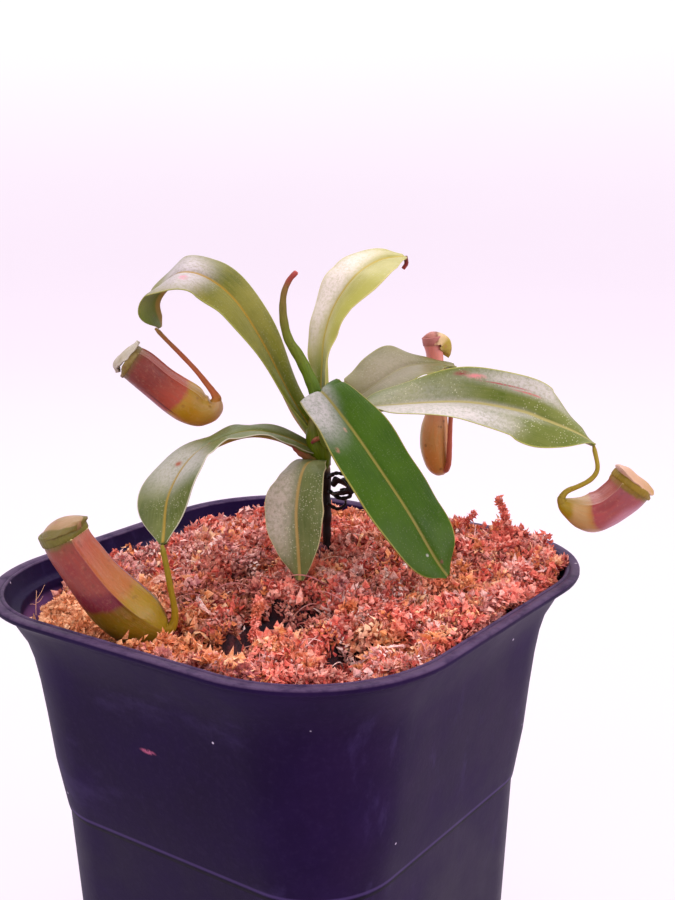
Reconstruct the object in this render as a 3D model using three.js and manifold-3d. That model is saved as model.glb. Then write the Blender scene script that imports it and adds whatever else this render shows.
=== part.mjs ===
// A young pitcher plant with four pitchers, standing in a square plastic nursery pot of dried moss.
// Millimetres, +Z up. The origin is the centre of the pot's flat base, and the pot's sides lie along X and Y.

import * as THREE from 'three';
import { mergeVertices } from 'three/addons/utils/BufferGeometryUtils.js';
import Module from 'manifold-3d';

const wasm = await Module();
wasm.setup();

// Pot
const POT_HEIGHT = 95;
const WALL = 1.3;
const FLOOR = 1.8;
const CORNER_CENTRE = 21.2; // from the pot's axis to each round corner's centre, along X and along Y
const RIM_HALF = 50;
const DRAIN_RADIUS = 3;
const DRAIN_OFFSET = 19;

// Height and half width of the pot's outside, from the base to the underside of the rim
const OUTSIDE = [
  [0, 33.9], [0.9, 34.6], [49, 37.3], [49.6, 37.7], [60, 39.5], [70, 40.6], [77, 41.5],
  [82, 42.4], [86, 43.6], [89, 45.3], [91, 46.4], [92.4, 47.6], [93.5, 49.1], [93.9, 49.8],
];
// The thin lip and its flat top with a groove in it, then the inner wall down to the ledge
const RIM = [[94.2, RIM_HALF], [94.7, RIM_HALF], [95, 49.7], [95, 48.3], [94.75, 47.9], [94.95, 47.5]];
const LEDGE = [[94.6, 47.1], [92.2, 46.2], [91.6, 45.2], [91.2, 44.4]];
const UNDER_LEDGE = 89;
const LEDGE_HEIGHT = 91.2;

// Moss
const MOSS_GAP = 0.5;
const MOSS_LEVEL = -2.9; // mean surface, from the rim
// Rises and dips of the moss: x, y, height, spread. The mound round the stem, the heap at the back,
// the low left corner, the bed that pitcher 2 lies in and the low edge along the left wall.
const MOSS_SWELLS = [
  [2, 9, 4.3, 14], [25, 33, 3, 9], [-42, -34, -5, 11], [-8, -34, -2.8, 8], [-44, 10, -1.3, 13],
];
const MOSS_SIDE_HEIGHTS = [2.3, 49, 60, 77, 85];
const MOSS_RINGS = [0.9, 0.78, 0.66, 0.54, 0.42, 0.31, 0.21, 0.11];
const STRAND_COUNT = 80;
const STRAND_REACH = 18.3; // past the corners' centres
const SEED = 7;

// Plant, in a frame of its own: turned about the pot's axis, with its zero height at the rim
const PLANT_TURN = 38.1;
const BLADE_THICKNESS = 0.75;
const RIB_DEPTH = 0.35;
const GAP = 0.35; // kept between pieces that touch
const PITCHER_WALL = 0.7;
const WING_ANGLE = 30; // from the middle of the pitcher's flat front to each wing
const WING_HEIGHT = 0.35;
const FULL_MOUTH = 4; // mouth radius of a pitcher whose lip has its full height and flare
const LIP_HEIGHT = 0.4;
const LIP_FLARE = 0.45;
const LID_EDGE = 0.6; // thickness of a lid's margins

const AWAY = new THREE.Vector3(0, 1, 0);
const UP = new THREE.Vector3(0, 0, 1);
const radians = THREE.MathUtils.degToRad;

// Stem: x, y, z, radius
const DEAD_STEM = [[7.5, 6, -14, 0.9], [7.5, 6, 2, 0.9], [7.5, 6, 13, 0.95], [7.4, 6, 19.65, 1]];
const GREEN_STEM = [[7.4, 6, 20, 1.1], [7.2, 6, 24, 1.4], [6.8, 6, 29, 1.4], [6.3, 5.8, 33.6, 1.25]];

// Leaf blades: the midrib's x, y, z, then the half width, the roll about the midrib and the fold of the halves
const LEAVES = {
  leaf_1: [
    [5.8, 6, 26.2, 1.2, 12, 20], [1.1, 7.5, 33.7, 3.7, 7, 15], [-4.8, 9, 45.5, 6.1, 13, 6],
    [-10, 10.5, 53.5, 7.2, 15, 0], [-15.5, 10.5, 58, 7.2, 20, 0], [-20.5, 10.5, 59, 7.5, 22, -2],
    [-24.5, 12.5, 56, 7.5, 12, 8], [-26.5, 13.5, 52.5, 6, 14, 20], [-26, 16, 47.5, 0.8, 36, 10],
  ],
  leaf_2: [
    [5.9, 5.6, 23.3, 1.2, 50, 0], [0, 2, 27, 3.2, 27, 4], [-6.5, -2.5, 29.5, 4.5, 8, 2],
    [-13, -4.5, 28.5, 5.8, -16, 3], [-18.8, -7.5, 25.4, 7.6, -12, 6], [-22.5, -14, 20, 7.4, -9, 5],
    [-23, -22.4, 13.5, 0.8, 12, 2],
  ],
  leaf_3: [
    [6.6, 4.9, 21.8, 1.2, 10, -6], [3.6, -0.3, 22.3, 4, -8, -5], [2, -4.6, 19.7, 5.3, -10, 2],
    [1.2, -6.8, 14, 6.5, -10, 12], [1.4, -8.9, 7.5, 4.5, -5, 7], [1.7, -9.7, 1.2, 0.7, -10, 6],
  ],
  leaf_4: [
    [7.7, 4.8, 24.6, 1.2, -5, 4], [7.4, 1.8, 31, 2.9, -8, 4], [6.5, 0, 36.6, 5.3, -14, 0],
    [11.5, -4, 31, 7.5, -11, 5], [17, -10, 23.6, 8.5, -6, 1], [22.2, -15, 16, 8.4, -6, -1],
    [26.8, -17.4, 8, 5.6, -11, 2], [29.3, -18, 4.2, 0.9, 5, 1],
  ],
  leaf_5: [
    [8, 6.5, 28.7, 1.2, 10, 4], [14.6, 6.6, 31.4, 2.7, -2, 4], [21, 7, 32.2, 6, -16, 12],
    [34.7, 4.6, 33, 7.4, -38, 26], [45.3, 1.5, 31.7, 7.2, -48, 13], [50.3, -0.8, 30.2, 7, -45, 2],
    [56.6, -1.2, 27.6, 4, -23, -6], [60.5, -0.8, 25.2, 0.8, 7, -4],
  ],
  leaf_6: [
    [7.7, 7.2, 25.6, 1.2, -3, 12], [12.2, 15.2, 30.5, 3.2, -5, 16], [15.8, 17.4, 32.8, 5.6, -10, 14],
    [21.2, 21.6, 35.5, 7, -15, 14], [26, 26.2, 36.8, 6.8, -19, 13], [31.6, 29.5, 36.7, 3.9, -16, 3],
    [37, 31.5, 35.8, 0.8, -15, 5],
  ],
  leaf_7: [
    [6.5, 7.2, 32, 1.4, 17, 7], [7, 10.2, 39.5, 3.1, 17, 8], [7.7, 13, 45.5, 5.2, 13, 6],
    [10, 15, 51.6, 6.4, 7, 2], [14.4, 16.6, 57.3, 7.2, -4, 0], [19.8, 21, 60, 5.2, -18, 3],
    [25.2, 24.6, 60.4, 0.9, -16, 5],
  ],
};

// The rolled new leaf in the middle: x, y, z, radius
const SPEAR = [
  [6, 5.4, 34.2, 1.3], [4.6, 5.8, 38, 1.25], [2.7, 6, 42.1, 1.1], [0.5, 6, 45.9, 0.95], [-0.4, 6, 50.1, 0.8],
  [-0.3, 6, 54.4, 0.65], [0.8, 6, 57.3, 0.55], [2.4, 6, 59.1, 0.55],
];

// Tendrils: x, y, z, radius, from the leaf's tip to the pitcher's base
const TENDRILS = {
  tendril_1: [
    [-25.9, 16.3, 46.4, 0.55], [-24.2, 15.4, 44.7, 0.55], [-21.6, 14.2, 42.2, 0.6],
    [-18.6, 13, 39.1, 0.65], [-16.2, 12.3, 36.1, 0.7], [-14.9, 12, 34.3, 0.75], [-14.4, 12, 33.5, 0.8],
  ],
  tendril_2: [
    [-22.9, -23.1, 12.2, 0.55], [-22.4, -23, 9, 0.6], [-21.9, -22.8, 5, 0.6],
    [-21.4, -22.6, 1.4, 0.65], [-21.4, -22.5, -1.4, 0.7], [-21.8, -22.5, -2.6, 0.7],
  ],
  tendril_3: [
    [37.1, 31.8, 34.3, 0.5], [36.8, 32.5, 30.5, 0.5], [36.4, 33, 25, 0.5], [36.6, 33, 20.5, 0.55],
    [36.8, 33, 16.5, 0.55], [36.9, 33.3, 13.2, 0.6], [36.7, 34.3, 10.7, 0.6], [36.4, 35.7, 9.4, 0.6],
  ],
  tendril_4: [
    [60.4, -1.1, 23.7, 0.45], [60.9, -1.8, 20.9, 0.45], [60.6, -2, 19.3, 0.5], [59.4, -2, 17.9, 0.5],
    [57.4, -2, 16.8, 0.5], [55.2, -2, 15.9, 0.55], [53.4, -2, 14.9, 0.6],
  ],
  tendril_7: [[25.6, 25.2, 59.3, 0.45], [25.6, 25.2, 58.6, 0.45], [24.9, 25, 57.6, 0.4]],
};

// Pitchers: where the flat front faces, then x, y, z, radius along the axis from base to mouth. The lid's
// crest runs from its hinge to its free end: forwards and outwards from the mouth's centre, half width,
// thickness and droop of the sides.
const PITCHERS = {
  pitcher_1: {
    front: 100,
    rows: [
      [-14.3, 12, 33, 0.9], [-14.35, 12, 32.2, 1.4], [-14.75, 12, 31.5, 2], [-15.7, 12, 30.95, 2.7],
      [-17.6, 12, 30.8, 3.4], [-20, 12, 32.1, 4], [-22.8, 12, 34, 3.92], [-25.8, 12, 36.4, 3.66],
      [-29.3, 12, 39.55, 3.63], [-31.2, 12, 40.9, 3.4],
    ],
    lid: [
      [-3.8, 1.5, 0.5, 0.7, 0], [-2.6, 2.8, 1.8, 1, 0], [-1.2, 3, 2.8, 1.25, 0], [0.3, 2.75, 3.4, 1.35, 0],
      [1.9, 2.3, 3.5, 1.35, 0], [3.4, 1.75, 2.8, 0.9, 0], [4.6, 1.45, 1.2, 0.6, 0],
    ],
  },
  pitcher_2: {
    front: 126,
    rows: [
      [-22.6, -22.5, -3.2, 0.8], [-23.3, -22.5, -3.3, 2.2], [-24.8, -22.3, -3, 3.6], [-26.8, -22, -1.9, 4.75],
      [-29, -22, -0.4, 5.3], [-31.5, -22, 1.9, 5.4], [-33.8, -22, 4.5, 5.1], [-35.8, -22, 7.2, 4.7],
      [-38, -22, 10.6, 4.5], [-39.5, -22, 13, 4.35], [-40.4, -22, 15.1, 4.25],
    ],
    lid: [
      [-4.8, 1.4, 0.8, 0.6, 0], [-3.6, 2.1, 2.6, 1.3, 0], [-1.9, 2.9, 4, 2.1, 0], [0.2, 3.3, 4.5, 2.5, 0],
      [2.8, 2.8, 4.2, 2, 0], [4.4, 2.1, 2.8, 1.3, 0], [5.2, 1.5, 1.2, 0.7, 0],
    ],
  },
  pitcher_3: {
    front: 90,
    rows: [
      [35.6, 36.5, 10.3, 0.9], [35.1, 36.5, 10.7, 1.9], [34.4, 36.5, 12, 2.8], [33.7, 36.5, 14.2, 3.2],
      [33.2, 36.5, 17.1, 3.35], [33.2, 36.5, 20.6, 3.15], [33.5, 36.5, 23.6, 2.55], [33.6, 36.5, 27, 2.15],
      [33.4, 36.5, 32, 1.95], [33.1, 36.5, 37.4, 1.9], [32.7, 36.5, 40.1, 2.2],
    ],
    lid: [
      [-2.4, 1.4, 1.2, 0.75, 0.1], [-1.4, 2.15, 2, 0.75, 0.3], [-0.2, 2.5, 2.4, 0.75, 0.4],
      [1.3, 2.3, 2.6, 0.75, 0.4], [2.8, 1.5, 2.6, 0.75, 0.4], [3.8, 0.1, 2.4, 0.75, 0.4],
      [4, -1.7, 2, 0.75, 0.3], [3.6, -3.1, 1.3, 0.75, 0.2], [2.9, -3.9, 0.5, 0.75, 0],
    ],
  },
  pitcher_4: {
    front: -110,
    rows: [
      [53.7, -2, 13.5, 0.9], [54.4, -2, 13, 1.5], [55.7, -2, 12.3, 2.2], [57.7, -2, 11.4, 3.2],
      [60, -2, 11.1, 3.85], [62.6, -2, 12, 3.8], [64.9, -2, 13.6, 3.9], [66.5, -2, 15, 4.05],
      [67.6, -2, 16.5, 4.3],
    ],
    lid: [
      [-5.3, 1.9, 1.2, 0.8, 0], [-3.4, 2.4, 3.2, 1.6, 0], [-0.3, 2.6, 4.3, 1.8, 0], [2.5, 2.8, 4, 2, 0],
      [4.4, 2.5, 2.6, 1.5, 0], [5.4, 2, 0.9, 0.7, 0],
    ],
  },
};

// The curled black remains of an old leaf on the dead stem, as the leaf blades
const DEAD_LEAF = [
  [8.9, 4.9, 16.4, 0.6, 0, 10], [9.8, 4, 17.6, 1, 10, 25], [11, 3, 17.5, 1.2, 25, 30],
  [12.2, 2, 16.7, 1.2, 30, 20], [11.8, 1.5, 15.7, 1, 20, 10], [10.4, 2, 15.1, 0.9, 0, 0],
  [9, 3, 14.6, 0.7, 0, 0],
];

// Moss strands that stand out most, in the plant's frame: x, y, z, radius
const TALL_STRANDS = [
  [[43.5, 6, 1, 1], [42.5, 6, 5, 0.9], [41, 6, 8, 0.7], [39.5, 6, 10.4, 0.5]],
  [[37, 2, -1.5, 0.9], [39.5, 2, 2, 0.8], [43, 2.4, 3.5, 0.8], [46, 3, 4, 0.6]],
  [[-42, 14, -8, 0.8], [-41, 14, -4, 0.8], [-38.6, 14, -1.5, 0.7], [-36.6, 14, 0.8, 0.5]],
  [[-40, -16, -10, 1.2], [-43.5, -13.5, -7.8, 1], [-46.5, -11.5, -7.4, 0.9], [-48.5, -10, -8, 0.6]],
];

// Geometry

// A value between the rows, as a smooth curve through them
function between(rows, t) {
  const place = Math.min(Math.max(t, 0), 1) * (rows.length - 1);
  const index = Math.min(Math.floor(place), rows.length - 2);
  const part = place - index;
  const before = rows[index - 1] ?? rows[0].map((value, k) => 2 * value - rows[1][k]);
  const last = rows.length - 1;
  const after = rows[index + 2] ?? rows[last].map((value, k) => 2 * value - rows[last - 1][k]);
  return rows[index].map((value, k) => {
    const [a, b, c, d] = [before[k], value, rows[index + 1][k], after[k]];
    const bend = (2 * a - 5 * b + 4 * c - d) * part ** 2 + (3 * b - a - 3 * c + d) * part ** 3;
    return 0.5 * (2 * b + (c - a) * part + bend);
  });
}

// Centre, direction along the curve, side and upright at a place on it, with the row's other values
function frameAt(rows, t, reference) {
  const values = between(rows, t);
  const step = 0.002;
  const ahead = new THREE.Vector3(...between(rows, t + step).slice(0, 3));
  const behind = new THREE.Vector3(...between(rows, t - step).slice(0, 3));
  const along = ahead.sub(behind).normalize();
  const side = reference.clone().addScaledVector(along, -reference.dot(along)).normalize();
  const upright = new THREE.Vector3().crossVectors(side, along);
  return { centre: new THREE.Vector3(...values.slice(0, 3)), along, side, upright, values };
}

// A closed body through rings of points. From the mirrored index on, the quads are split the other way,
// so that both faces of a thin blade have the same triangles.
function loft(rings, mirroredFrom = Infinity) {
  const size = rings[0].length;
  const positions = rings.flat().flatMap((point) => point.toArray());
  const faces = [];
  for (let ring = 0; ring < rings.length - 1; ring++) {
    for (let k = 0; k < size; k++) {
      const next = (k + 1) % size;
      const [a, b] = [ring * size + k, ring * size + next];
      const [c, d] = [a + size, b + size];
      if (k >= mirroredFrom) faces.push([a, b, c], [b, d, c]);
      else faces.push([a, b, d], [a, d, c]);
    }
  }
  const end = (rings.length - 1) * size;
  for (let k = 0; k < size / 2 - 1; k++) {
    const [a, b, c, d] = [k, k + 1, size - 2 - k, size - 1 - k];
    faces.push([a, d, b], [b, d, c]);
    faces.push([end + a, end + b, end + d], [end + b, end + c, end + d]);
  }
  const vertex = (k) => new THREE.Vector3().fromArray(positions, 3 * k);
  const volume = faces.reduce((sum, [a, b, c]) => sum + vertex(a).dot(vertex(b).cross(vertex(c))), 0);
  const geometry = new THREE.BufferGeometry();
  geometry.setAttribute('position', new THREE.Float32BufferAttribute(positions, 3));
  geometry.setIndex(faces.map((face) => (volume < 0 ? face.reverse() : face)).flat());
  geometry.computeVertexNormals();
  return geometry;
}

// A round, tapering rod along rows of x, y, z, radius
function rod(rows, sides, steps, extra = 0, reference = AWAY) {
  const rings = [];
  for (let step = 0; step <= steps; step++) {
    const { centre, side, upright, values } = frameAt(rows, step / steps, reference);
    rings.push(circle(centre, side, upright, values[3] + extra, sides));
  }
  return loft(rings);
}

function circle(centre, side, upright, radius, sides) {
  const points = [];
  for (let k = 0; k < sides; k++) {
    const angle = (2 * Math.PI * k) / sides;
    const point = centre.clone().addScaledVector(side, radius * Math.cos(angle));
    points.push(point.addScaledVector(upright, radius * Math.sin(angle)));
  }
  return points;
}

const ACROSS = [-1, -0.5, 0, 0.5, 1]; // places across a blade, from margin to margin
const FLAP_STEPS = 10;

// A thin leaf blade along rows of x, y, z, half width, roll and fold
function blade(rows, { steps = 16, thickness = BLADE_THICKNESS, rib = RIB_DEPTH, reference } = {}) {
  const [from, to] = [rows[0], rows[rows.length - 1]];
  const across = reference ?? new THREE.Vector3(to[1] - from[1], from[0] - to[0], 0).normalize();
  const rings = [];
  for (let step = 0; step <= steps; step++) {
    const { centre, along, side, upright, values } = frameAt(rows, step / steps, across);
    const [half, roll, fold] = [values[3], radians(values[4]), radians(values[5])];
    side.applyAxisAngle(along, -roll);
    upright.applyAxisAngle(along, -roll);
    const top = ACROSS.map((place) => {
      const point = centre.clone().addScaledVector(side, half * place * Math.cos(fold));
      return point.addScaledVector(upright, half * Math.abs(place) * Math.sin(fold));
    });
    const bottom = top.map((point, k) => {
      const depth = thickness + (k === 2 ? rib * Math.min(1, half / 3) : 0);
      return point.clone().addScaledVector(upright, -depth);
    });
    rings.push([...top, ...bottom.reverse()]);
  }
  return loft(rings, ACROSS.length);
}

// A hollow pitcher: round, with a flat front between two wings, and a thick lip round its mouth
function pitcher({ rows, front }) {
  const backAngles = Array.from({ length: 11 }, (_, k) => 45 + 27 * k);
  const angles = [0, WING_ANGLE, ...backAngles, 360 - WING_ANGLE];
  const ring = (t, inset, lift = 0, wing = WING_HEIGHT) => {
    const { centre, along, side, upright, values } = frameAt(rows, t, AWAY);
    const radius = values[3] - inset;
    const rise = wing * Math.min(1, values[3] / 4);
    return angles.map((angle, k) => {
      const turn = radians(angle + front);
      const reach = k === 0 ? radius * Math.cos(radians(WING_ANGLE)) : radius;
      const onWing = k === 1 || k === angles.length - 1;
      const point = centre.clone().addScaledVector(along, lift);
      point.addScaledVector(side, (reach + (onWing ? rise : 0)) * Math.cos(turn));
      return point.addScaledVector(upright, (reach + (onWing ? rise : 0)) * Math.sin(turn));
    });
  };
  const outside = [0, 0.07, 0.16, 0.28, 0.4, 0.55, 0.7, 0.84, 0.94].map((t) => ring(t, 0));
  const share = rows.at(-1)[3] / FULL_MOUTH;
  const [flare, height] = [LIP_FLARE * share, LIP_HEIGHT * share];
  const lip = [ring(1, -flare, 0, 0), ring(1, -flare / 2, height, 0), ring(1, PITCHER_WALL, height, 0)];
  const inside = [0.9, 0.7, 0.5, 0.35, 0.24].map((t) => ring(t, PITCHER_WALL, 0, 0));
  return loft([...outside, ...lip, ...inside]);
}

// The flap over a pitcher's mouth: a lens with thin margins along its crest, with the sides drooping
function flap({ rows, front, lid }) {
  const { centre, along, side, upright } = frameAt(rows, 1, AWAY);
  const turn = radians(front);
  const forward = side.clone().multiplyScalar(Math.cos(turn)).addScaledVector(upright, Math.sin(turn));
  const across = new THREE.Vector3().crossVectors(forward, along);
  const crest = lid.map(([forwards, outwards, ...rest]) => {
    const point = centre.clone().addScaledVector(forward, forwards).addScaledVector(along, outwards);
    return [...point.toArray(), ...rest];
  });
  const rings = [];
  for (let step = 0; step <= FLAP_STEPS; step++) {
    const at = frameAt(crest, step / FLAP_STEPS, across);
    const [half, thickness, droop] = at.values.slice(3);
    const point = (place, down) =>
      at.centre.clone().addScaledVector(at.side, half * place).addScaledVector(at.upright, -down);
    const top = ACROSS.map((place) => point(place, (thickness - LID_EDGE + droop) * place ** 2));
    const bottom = ACROSS.map((place) => point(place, thickness + droop * place ** 2));
    rings.push([...top, ...bottom.reverse()]);
  }
  return loft(rings, ACROSS.length);
}

// Booleans

function solid(geometry) {
  const bare = geometry.clone();
  bare.deleteAttribute('normal');
  bare.deleteAttribute('uv');
  const merged = mergeVertices(bare, 1e-5);
  const mesh = new wasm.Mesh({
    numProp: 3,
    vertProperties: Float32Array.from(merged.attributes.position.array),
    triVerts: Uint32Array.from(merged.index.array),
  });
  mesh.merge();
  return new wasm.Manifold(mesh);
}

function geometryOf(body) {
  const { vertProperties, triVerts } = body.getMesh();
  const geometry = new THREE.BufferGeometry();
  geometry.setAttribute('position', new THREE.BufferAttribute(vertProperties, 3));
  geometry.setIndex(new THREE.BufferAttribute(triVerts, 1));
  geometry.computeVertexNormals();
  return geometry;
}

// Pot and moss

// Outline of a square with round corners: the arcs' steps and the straights' steps of each side
function roundedSquare(half, arcSteps, straightSteps) {
  const radius = half - CORNER_CENTRE;
  const points = [];
  for (let side = 0; side < 4; side++) {
    const turn = (side * Math.PI) / 2;
    const add = (x, y) => points.push(new THREE.Vector2(x, y).rotateAround(new THREE.Vector2(), turn));
    for (let k = 0; k <= arcSteps; k++) {
      const angle = (k * Math.PI) / 2 / arcSteps;
      add(CORNER_CENTRE + radius * Math.cos(angle), CORNER_CENTRE + radius * Math.sin(angle));
    }
    for (let k = 1; k < straightSteps; k++) add(CORNER_CENTRE * (1 - (2 * k) / straightSteps), half);
  }
  return points;
}

// Half width of a profile at a height
function halfWidthAt(profile, height) {
  const above = Math.max(1, profile.findIndex(([z]) => z >= height));
  const [[z0, w0], [z1, w1]] = [profile[above - 1], profile[above]];
  return THREE.MathUtils.mapLinear(height, z0, z1, w0, w1);
}

const INNER_WALL = OUTSIDE.filter(([z]) => z > 1 && z <= UNDER_LEDGE).map(([z, half]) => [z, half - WALL]);
const INSIDE = [...INNER_WALL, ...LEDGE.toReversed()];

function potBody() {
  const floorHalf = halfWidthAt(OUTSIDE, FLOOR) - WALL;
  const profile = [...OUTSIDE, ...RIM, ...LEDGE, ...INNER_WALL.toReversed(), [FLOOR, floorHalf]];
  const rings = profile.map(([z, half]) =>
    roundedSquare(half, 5, 1).map((point) => new THREE.Vector3(point.x, point.y, z)));
  let body = solid(loft(rings));
  for (const [x, y] of [[1, 1], [-1, 1], [-1, -1], [1, -1]]) {
    const hole = new THREE.CylinderGeometry(DRAIN_RADIUS, DRAIN_RADIUS, 3 * FLOOR, 16);
    hole.rotateX(Math.PI / 2);
    hole.translate(x * DRAIN_OFFSET, y * DRAIN_OFFSET, FLOOR / 2);
    body = body.subtract(solid(hole));
  }
  return geometryOf(body);
}

// Repeatable random numbers between 0 and 1
function randomFrom(seed) {
  let state = seed;
  return () => {
    state = (state * 16807) % 2147483647;
    return state / 2147483647;
  };
}

// A smooth round rise, or dip, of the moss
function swell(x, y, [atX, atY, height, spread]) {
  return height * Math.exp(-((x - atX) ** 2 + (y - atY) ** 2) / (2 * spread ** 2));
}

// Height of the moss from the rim: a slope, the rises and dips, and rumples
function mossHeight(x, y) {
  const rumple = 0.5 * Math.sin(0.55 * x + 0.3 * y) + 0.4 * Math.sin(0.62 * y - 0.35 * x + 1);
  const swells = MOSS_SWELLS.reduce((sum, row) => sum + swell(x, y, row), 0);
  return MOSS_LEVEL + 0.03 * x + 0.02 * y + swells + rumple;
}

function toPot([x, y, z, ...rest]) {
  const turned = new THREE.Vector3(x, y, z).applyAxisAngle(UP, radians(PLANT_TURN));
  return [turned.x, turned.y, turned.z + POT_HEIGHT, ...rest];
}

// How far a point lies outside the square of the corners' centres
function pastCorner(x, y) {
  return Math.hypot(Math.max(Math.abs(x) - CORNER_CENTRE, 0), Math.max(Math.abs(y) - CORNER_CENTRE, 0));
}

// Small strands sunk well into the moss, at random but repeatable places and clear of the plant
function mossStrands(clearPlaces) {
  const random = randomFrom(SEED);
  const strands = [];
  while (strands.length < STRAND_COUNT) {
    const [x, y] = [(random() - 0.5) * 78, (random() - 0.5) * 78];
    const [heading, length, radius] = [random() * 2 * Math.PI, 4 + 5 * random(), 0.6 + 0.5 * random()];
    const rise = 0.25 + 0.5 * random();
    const blocked = clearPlaces.some(([px, py, clear]) => Math.hypot(x - px, y - py) < clear + length);
    if (blocked) continue;
    const base = mossHeight(x, y) + POT_HEIGHT;
    const rows = [-0.25, 0.15, 0.6, 1].map((part) => [
      x + length * part * Math.cos(heading),
      y + length * part * Math.sin(heading),
      base + (part < 0 ? -1.6 : rise * length * part * (1.5 - part)),
      radius * (1 - 0.5 * Math.max(part, 0)),
    ]);
    const within = rows.every(([px, py]) => pastCorner(px, py) < STRAND_REACH);
    const across = new THREE.Vector3(Math.sin(heading), -Math.cos(heading), 0);
    if (within) strands.push(rod(rows, 4, 3, 0, across));
  }
  return strands;
}

function mossBed() {
  const outline = (half) => roundedSquare(half, 5, 5);
  const rings = MOSS_SIDE_HEIGHTS.map((z) =>
    outline(halfWidthAt(INSIDE, Math.max(z, INSIDE[0][0])) - MOSS_GAP - (z < 10 ? 2.6 : 0))
      .map((point) => new THREE.Vector3(point.x, point.y, z)));
  const edge = outline(42).map((guess) => {
    const z = mossHeight(guess.x, guess.y) + POT_HEIGHT;
    const besideWall = halfWidthAt(INSIDE, Math.min(z, LEDGE_HEIGHT)) - 1.6 * MOSS_GAP;
    const scale = (besideWall + 0.25 * Math.max(z - LEDGE_HEIGHT, 0)) / 42;
    return new THREE.Vector3(guess.x * scale, guess.y * scale, z);
  });
  rings.push(edge);
  for (const part of MOSS_RINGS) {
    rings.push(edge.map(({ x, y }) =>
      new THREE.Vector3(x * part, y * part, mossHeight(x * part, y * part) + POT_HEIGHT)));
  }
  let body = solid(loft(rings));
  const [stemX, stemY] = toPot(DEAD_STEM[0]);
  const clearPlaces = [[stemX, stemY, 3]];
  for (const row of [...PITCHERS.pitcher_2.rows.slice(0, 7), LEAVES.leaf_3[5], LEAVES.leaf_4[7]]) {
    const [x, y] = toPot(row);
    clearPlaces.push([x, y, row[3] + 1]);
  }
  for (const strand of mossStrands(clearPlaces)) body = body.add(solid(strand));
  for (const rows of TALL_STRANDS) body = body.add(solid(rod(rows.map(toPot), 5, 5, 0, UP)));
  const stemHole = rod(DEAD_STEM.map(toPot).map(([x, y, z, r], k) => [x, y, k ? z : z - GAP, r]), 10, 4, GAP);
  const [foot, ...above] = PITCHERS.pitcher_2.rows;
  const bedRows = [[foot[0] + 2 * GAP, foot[1], foot[2], foot[3]], ...above];
  const pitcherBed = rod(bedRows.map(toPot), 14, 12, GAP + 2 * WING_HEIGHT);
  return geometryOf(body.subtract(solid(stemHole)).subtract(solid(pitcherBed)));
}

// Assembly

function material(color, roughness) {
  return new THREE.MeshStandardMaterial({ color, roughness, metalness: 0 });
}

function mesh(name, geometry, finish) {
  const node = new THREE.Mesh(geometry, finish);
  node.name = name;
  return node;
}

const LEAF_COLOURS = ['#6f8a3c', '#6c8448', '#5f7d3a', '#4d8a1f', '#6f8d55', '#8b9563', '#b3b860'];

const plant = new THREE.Group();
plant.rotation.z = radians(PLANT_TURN);
plant.position.z = POT_HEIGHT;
plant.add(mesh('dead_stem', rod(DEAD_STEM, 10, 6), material('#2b1d22', 0.8)));
plant.add(mesh('green_stem', rod(GREEN_STEM, 10, 4), material('#7d9a34', 0.5)));
plant.add(mesh('dead_leaf', blade(DEAD_LEAF, { steps: 12, thickness: 0.6, rib: 0 }), material('#1d1519', 0.8)));

const [lower, ...upper] = GREEN_STEM;
const [x, y, z, radius] = upper.pop();
const sleeveRows = [lower, ...upper, [x, y, z + GAP, radius]];
const stemSleeve = solid(rod(sleeveRows, 10, 4, GAP));
Object.entries(LEAVES).forEach(([name, rows], k) => {
  const body = solid(blade(rows)).subtract(stemSleeve);
  plant.add(mesh(name, geometryOf(body), material(LEAF_COLOURS[k], 0.4)));
});
plant.add(mesh('spear', rod(SPEAR, 8, 14), material('#8f9a3a', 0.5)));
for (const [name, rows] of Object.entries(TENDRILS)) {
  plant.add(mesh(name, rod(rows, 6, 4 * (rows.length - 1)), material('#b0803a', 0.5)));
}
Object.entries(PITCHERS).forEach(([name, shape], k) => {
  plant.add(mesh(name, pitcher(shape), material('#a8603c', 0.45)));
  plant.add(mesh(`lid_${k + 1}`, flap(shape), material('#b9a468', 0.5)));
});

const pottedPlant = new THREE.Group();
pottedPlant.add(mesh('pot', potBody(), material('#2c2436', 0.6)));
pottedPlant.add(mesh('moss_bed', mossBed(), material('#b5684c', 0.95)));
pottedPlant.add(plant);

export default pottedPlant;
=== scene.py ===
"""The looks of a young pitcher plant in a square plastic pot of dried moss.

Rows below are in millimetres, and the pieces keep to the part's solids. The plant's rows are in a frame of
their own: x to the right of the view, y away from it, z above the pot's rim.
"""

import math

import bmesh
import bpy
import numpy as np
from mathutils import Matrix, Vector


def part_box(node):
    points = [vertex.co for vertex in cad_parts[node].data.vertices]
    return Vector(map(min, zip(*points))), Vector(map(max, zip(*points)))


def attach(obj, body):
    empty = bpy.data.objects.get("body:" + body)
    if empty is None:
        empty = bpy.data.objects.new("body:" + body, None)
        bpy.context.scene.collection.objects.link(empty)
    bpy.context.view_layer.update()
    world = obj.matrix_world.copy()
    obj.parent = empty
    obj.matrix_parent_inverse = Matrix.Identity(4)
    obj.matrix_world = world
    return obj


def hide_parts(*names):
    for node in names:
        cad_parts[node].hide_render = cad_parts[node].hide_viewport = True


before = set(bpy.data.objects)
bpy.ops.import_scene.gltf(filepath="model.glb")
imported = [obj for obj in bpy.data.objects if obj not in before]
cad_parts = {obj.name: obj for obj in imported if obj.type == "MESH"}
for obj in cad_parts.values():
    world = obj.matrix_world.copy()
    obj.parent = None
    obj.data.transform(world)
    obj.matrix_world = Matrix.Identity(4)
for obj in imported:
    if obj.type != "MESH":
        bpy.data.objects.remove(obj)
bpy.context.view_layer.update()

MM = 0.001
PLANT_TURN = math.radians(38.1)
RIM_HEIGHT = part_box("pot")[1].z / MM

# Camera: its place in metres, all as fitted to the rim of the pot in the picture

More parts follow.
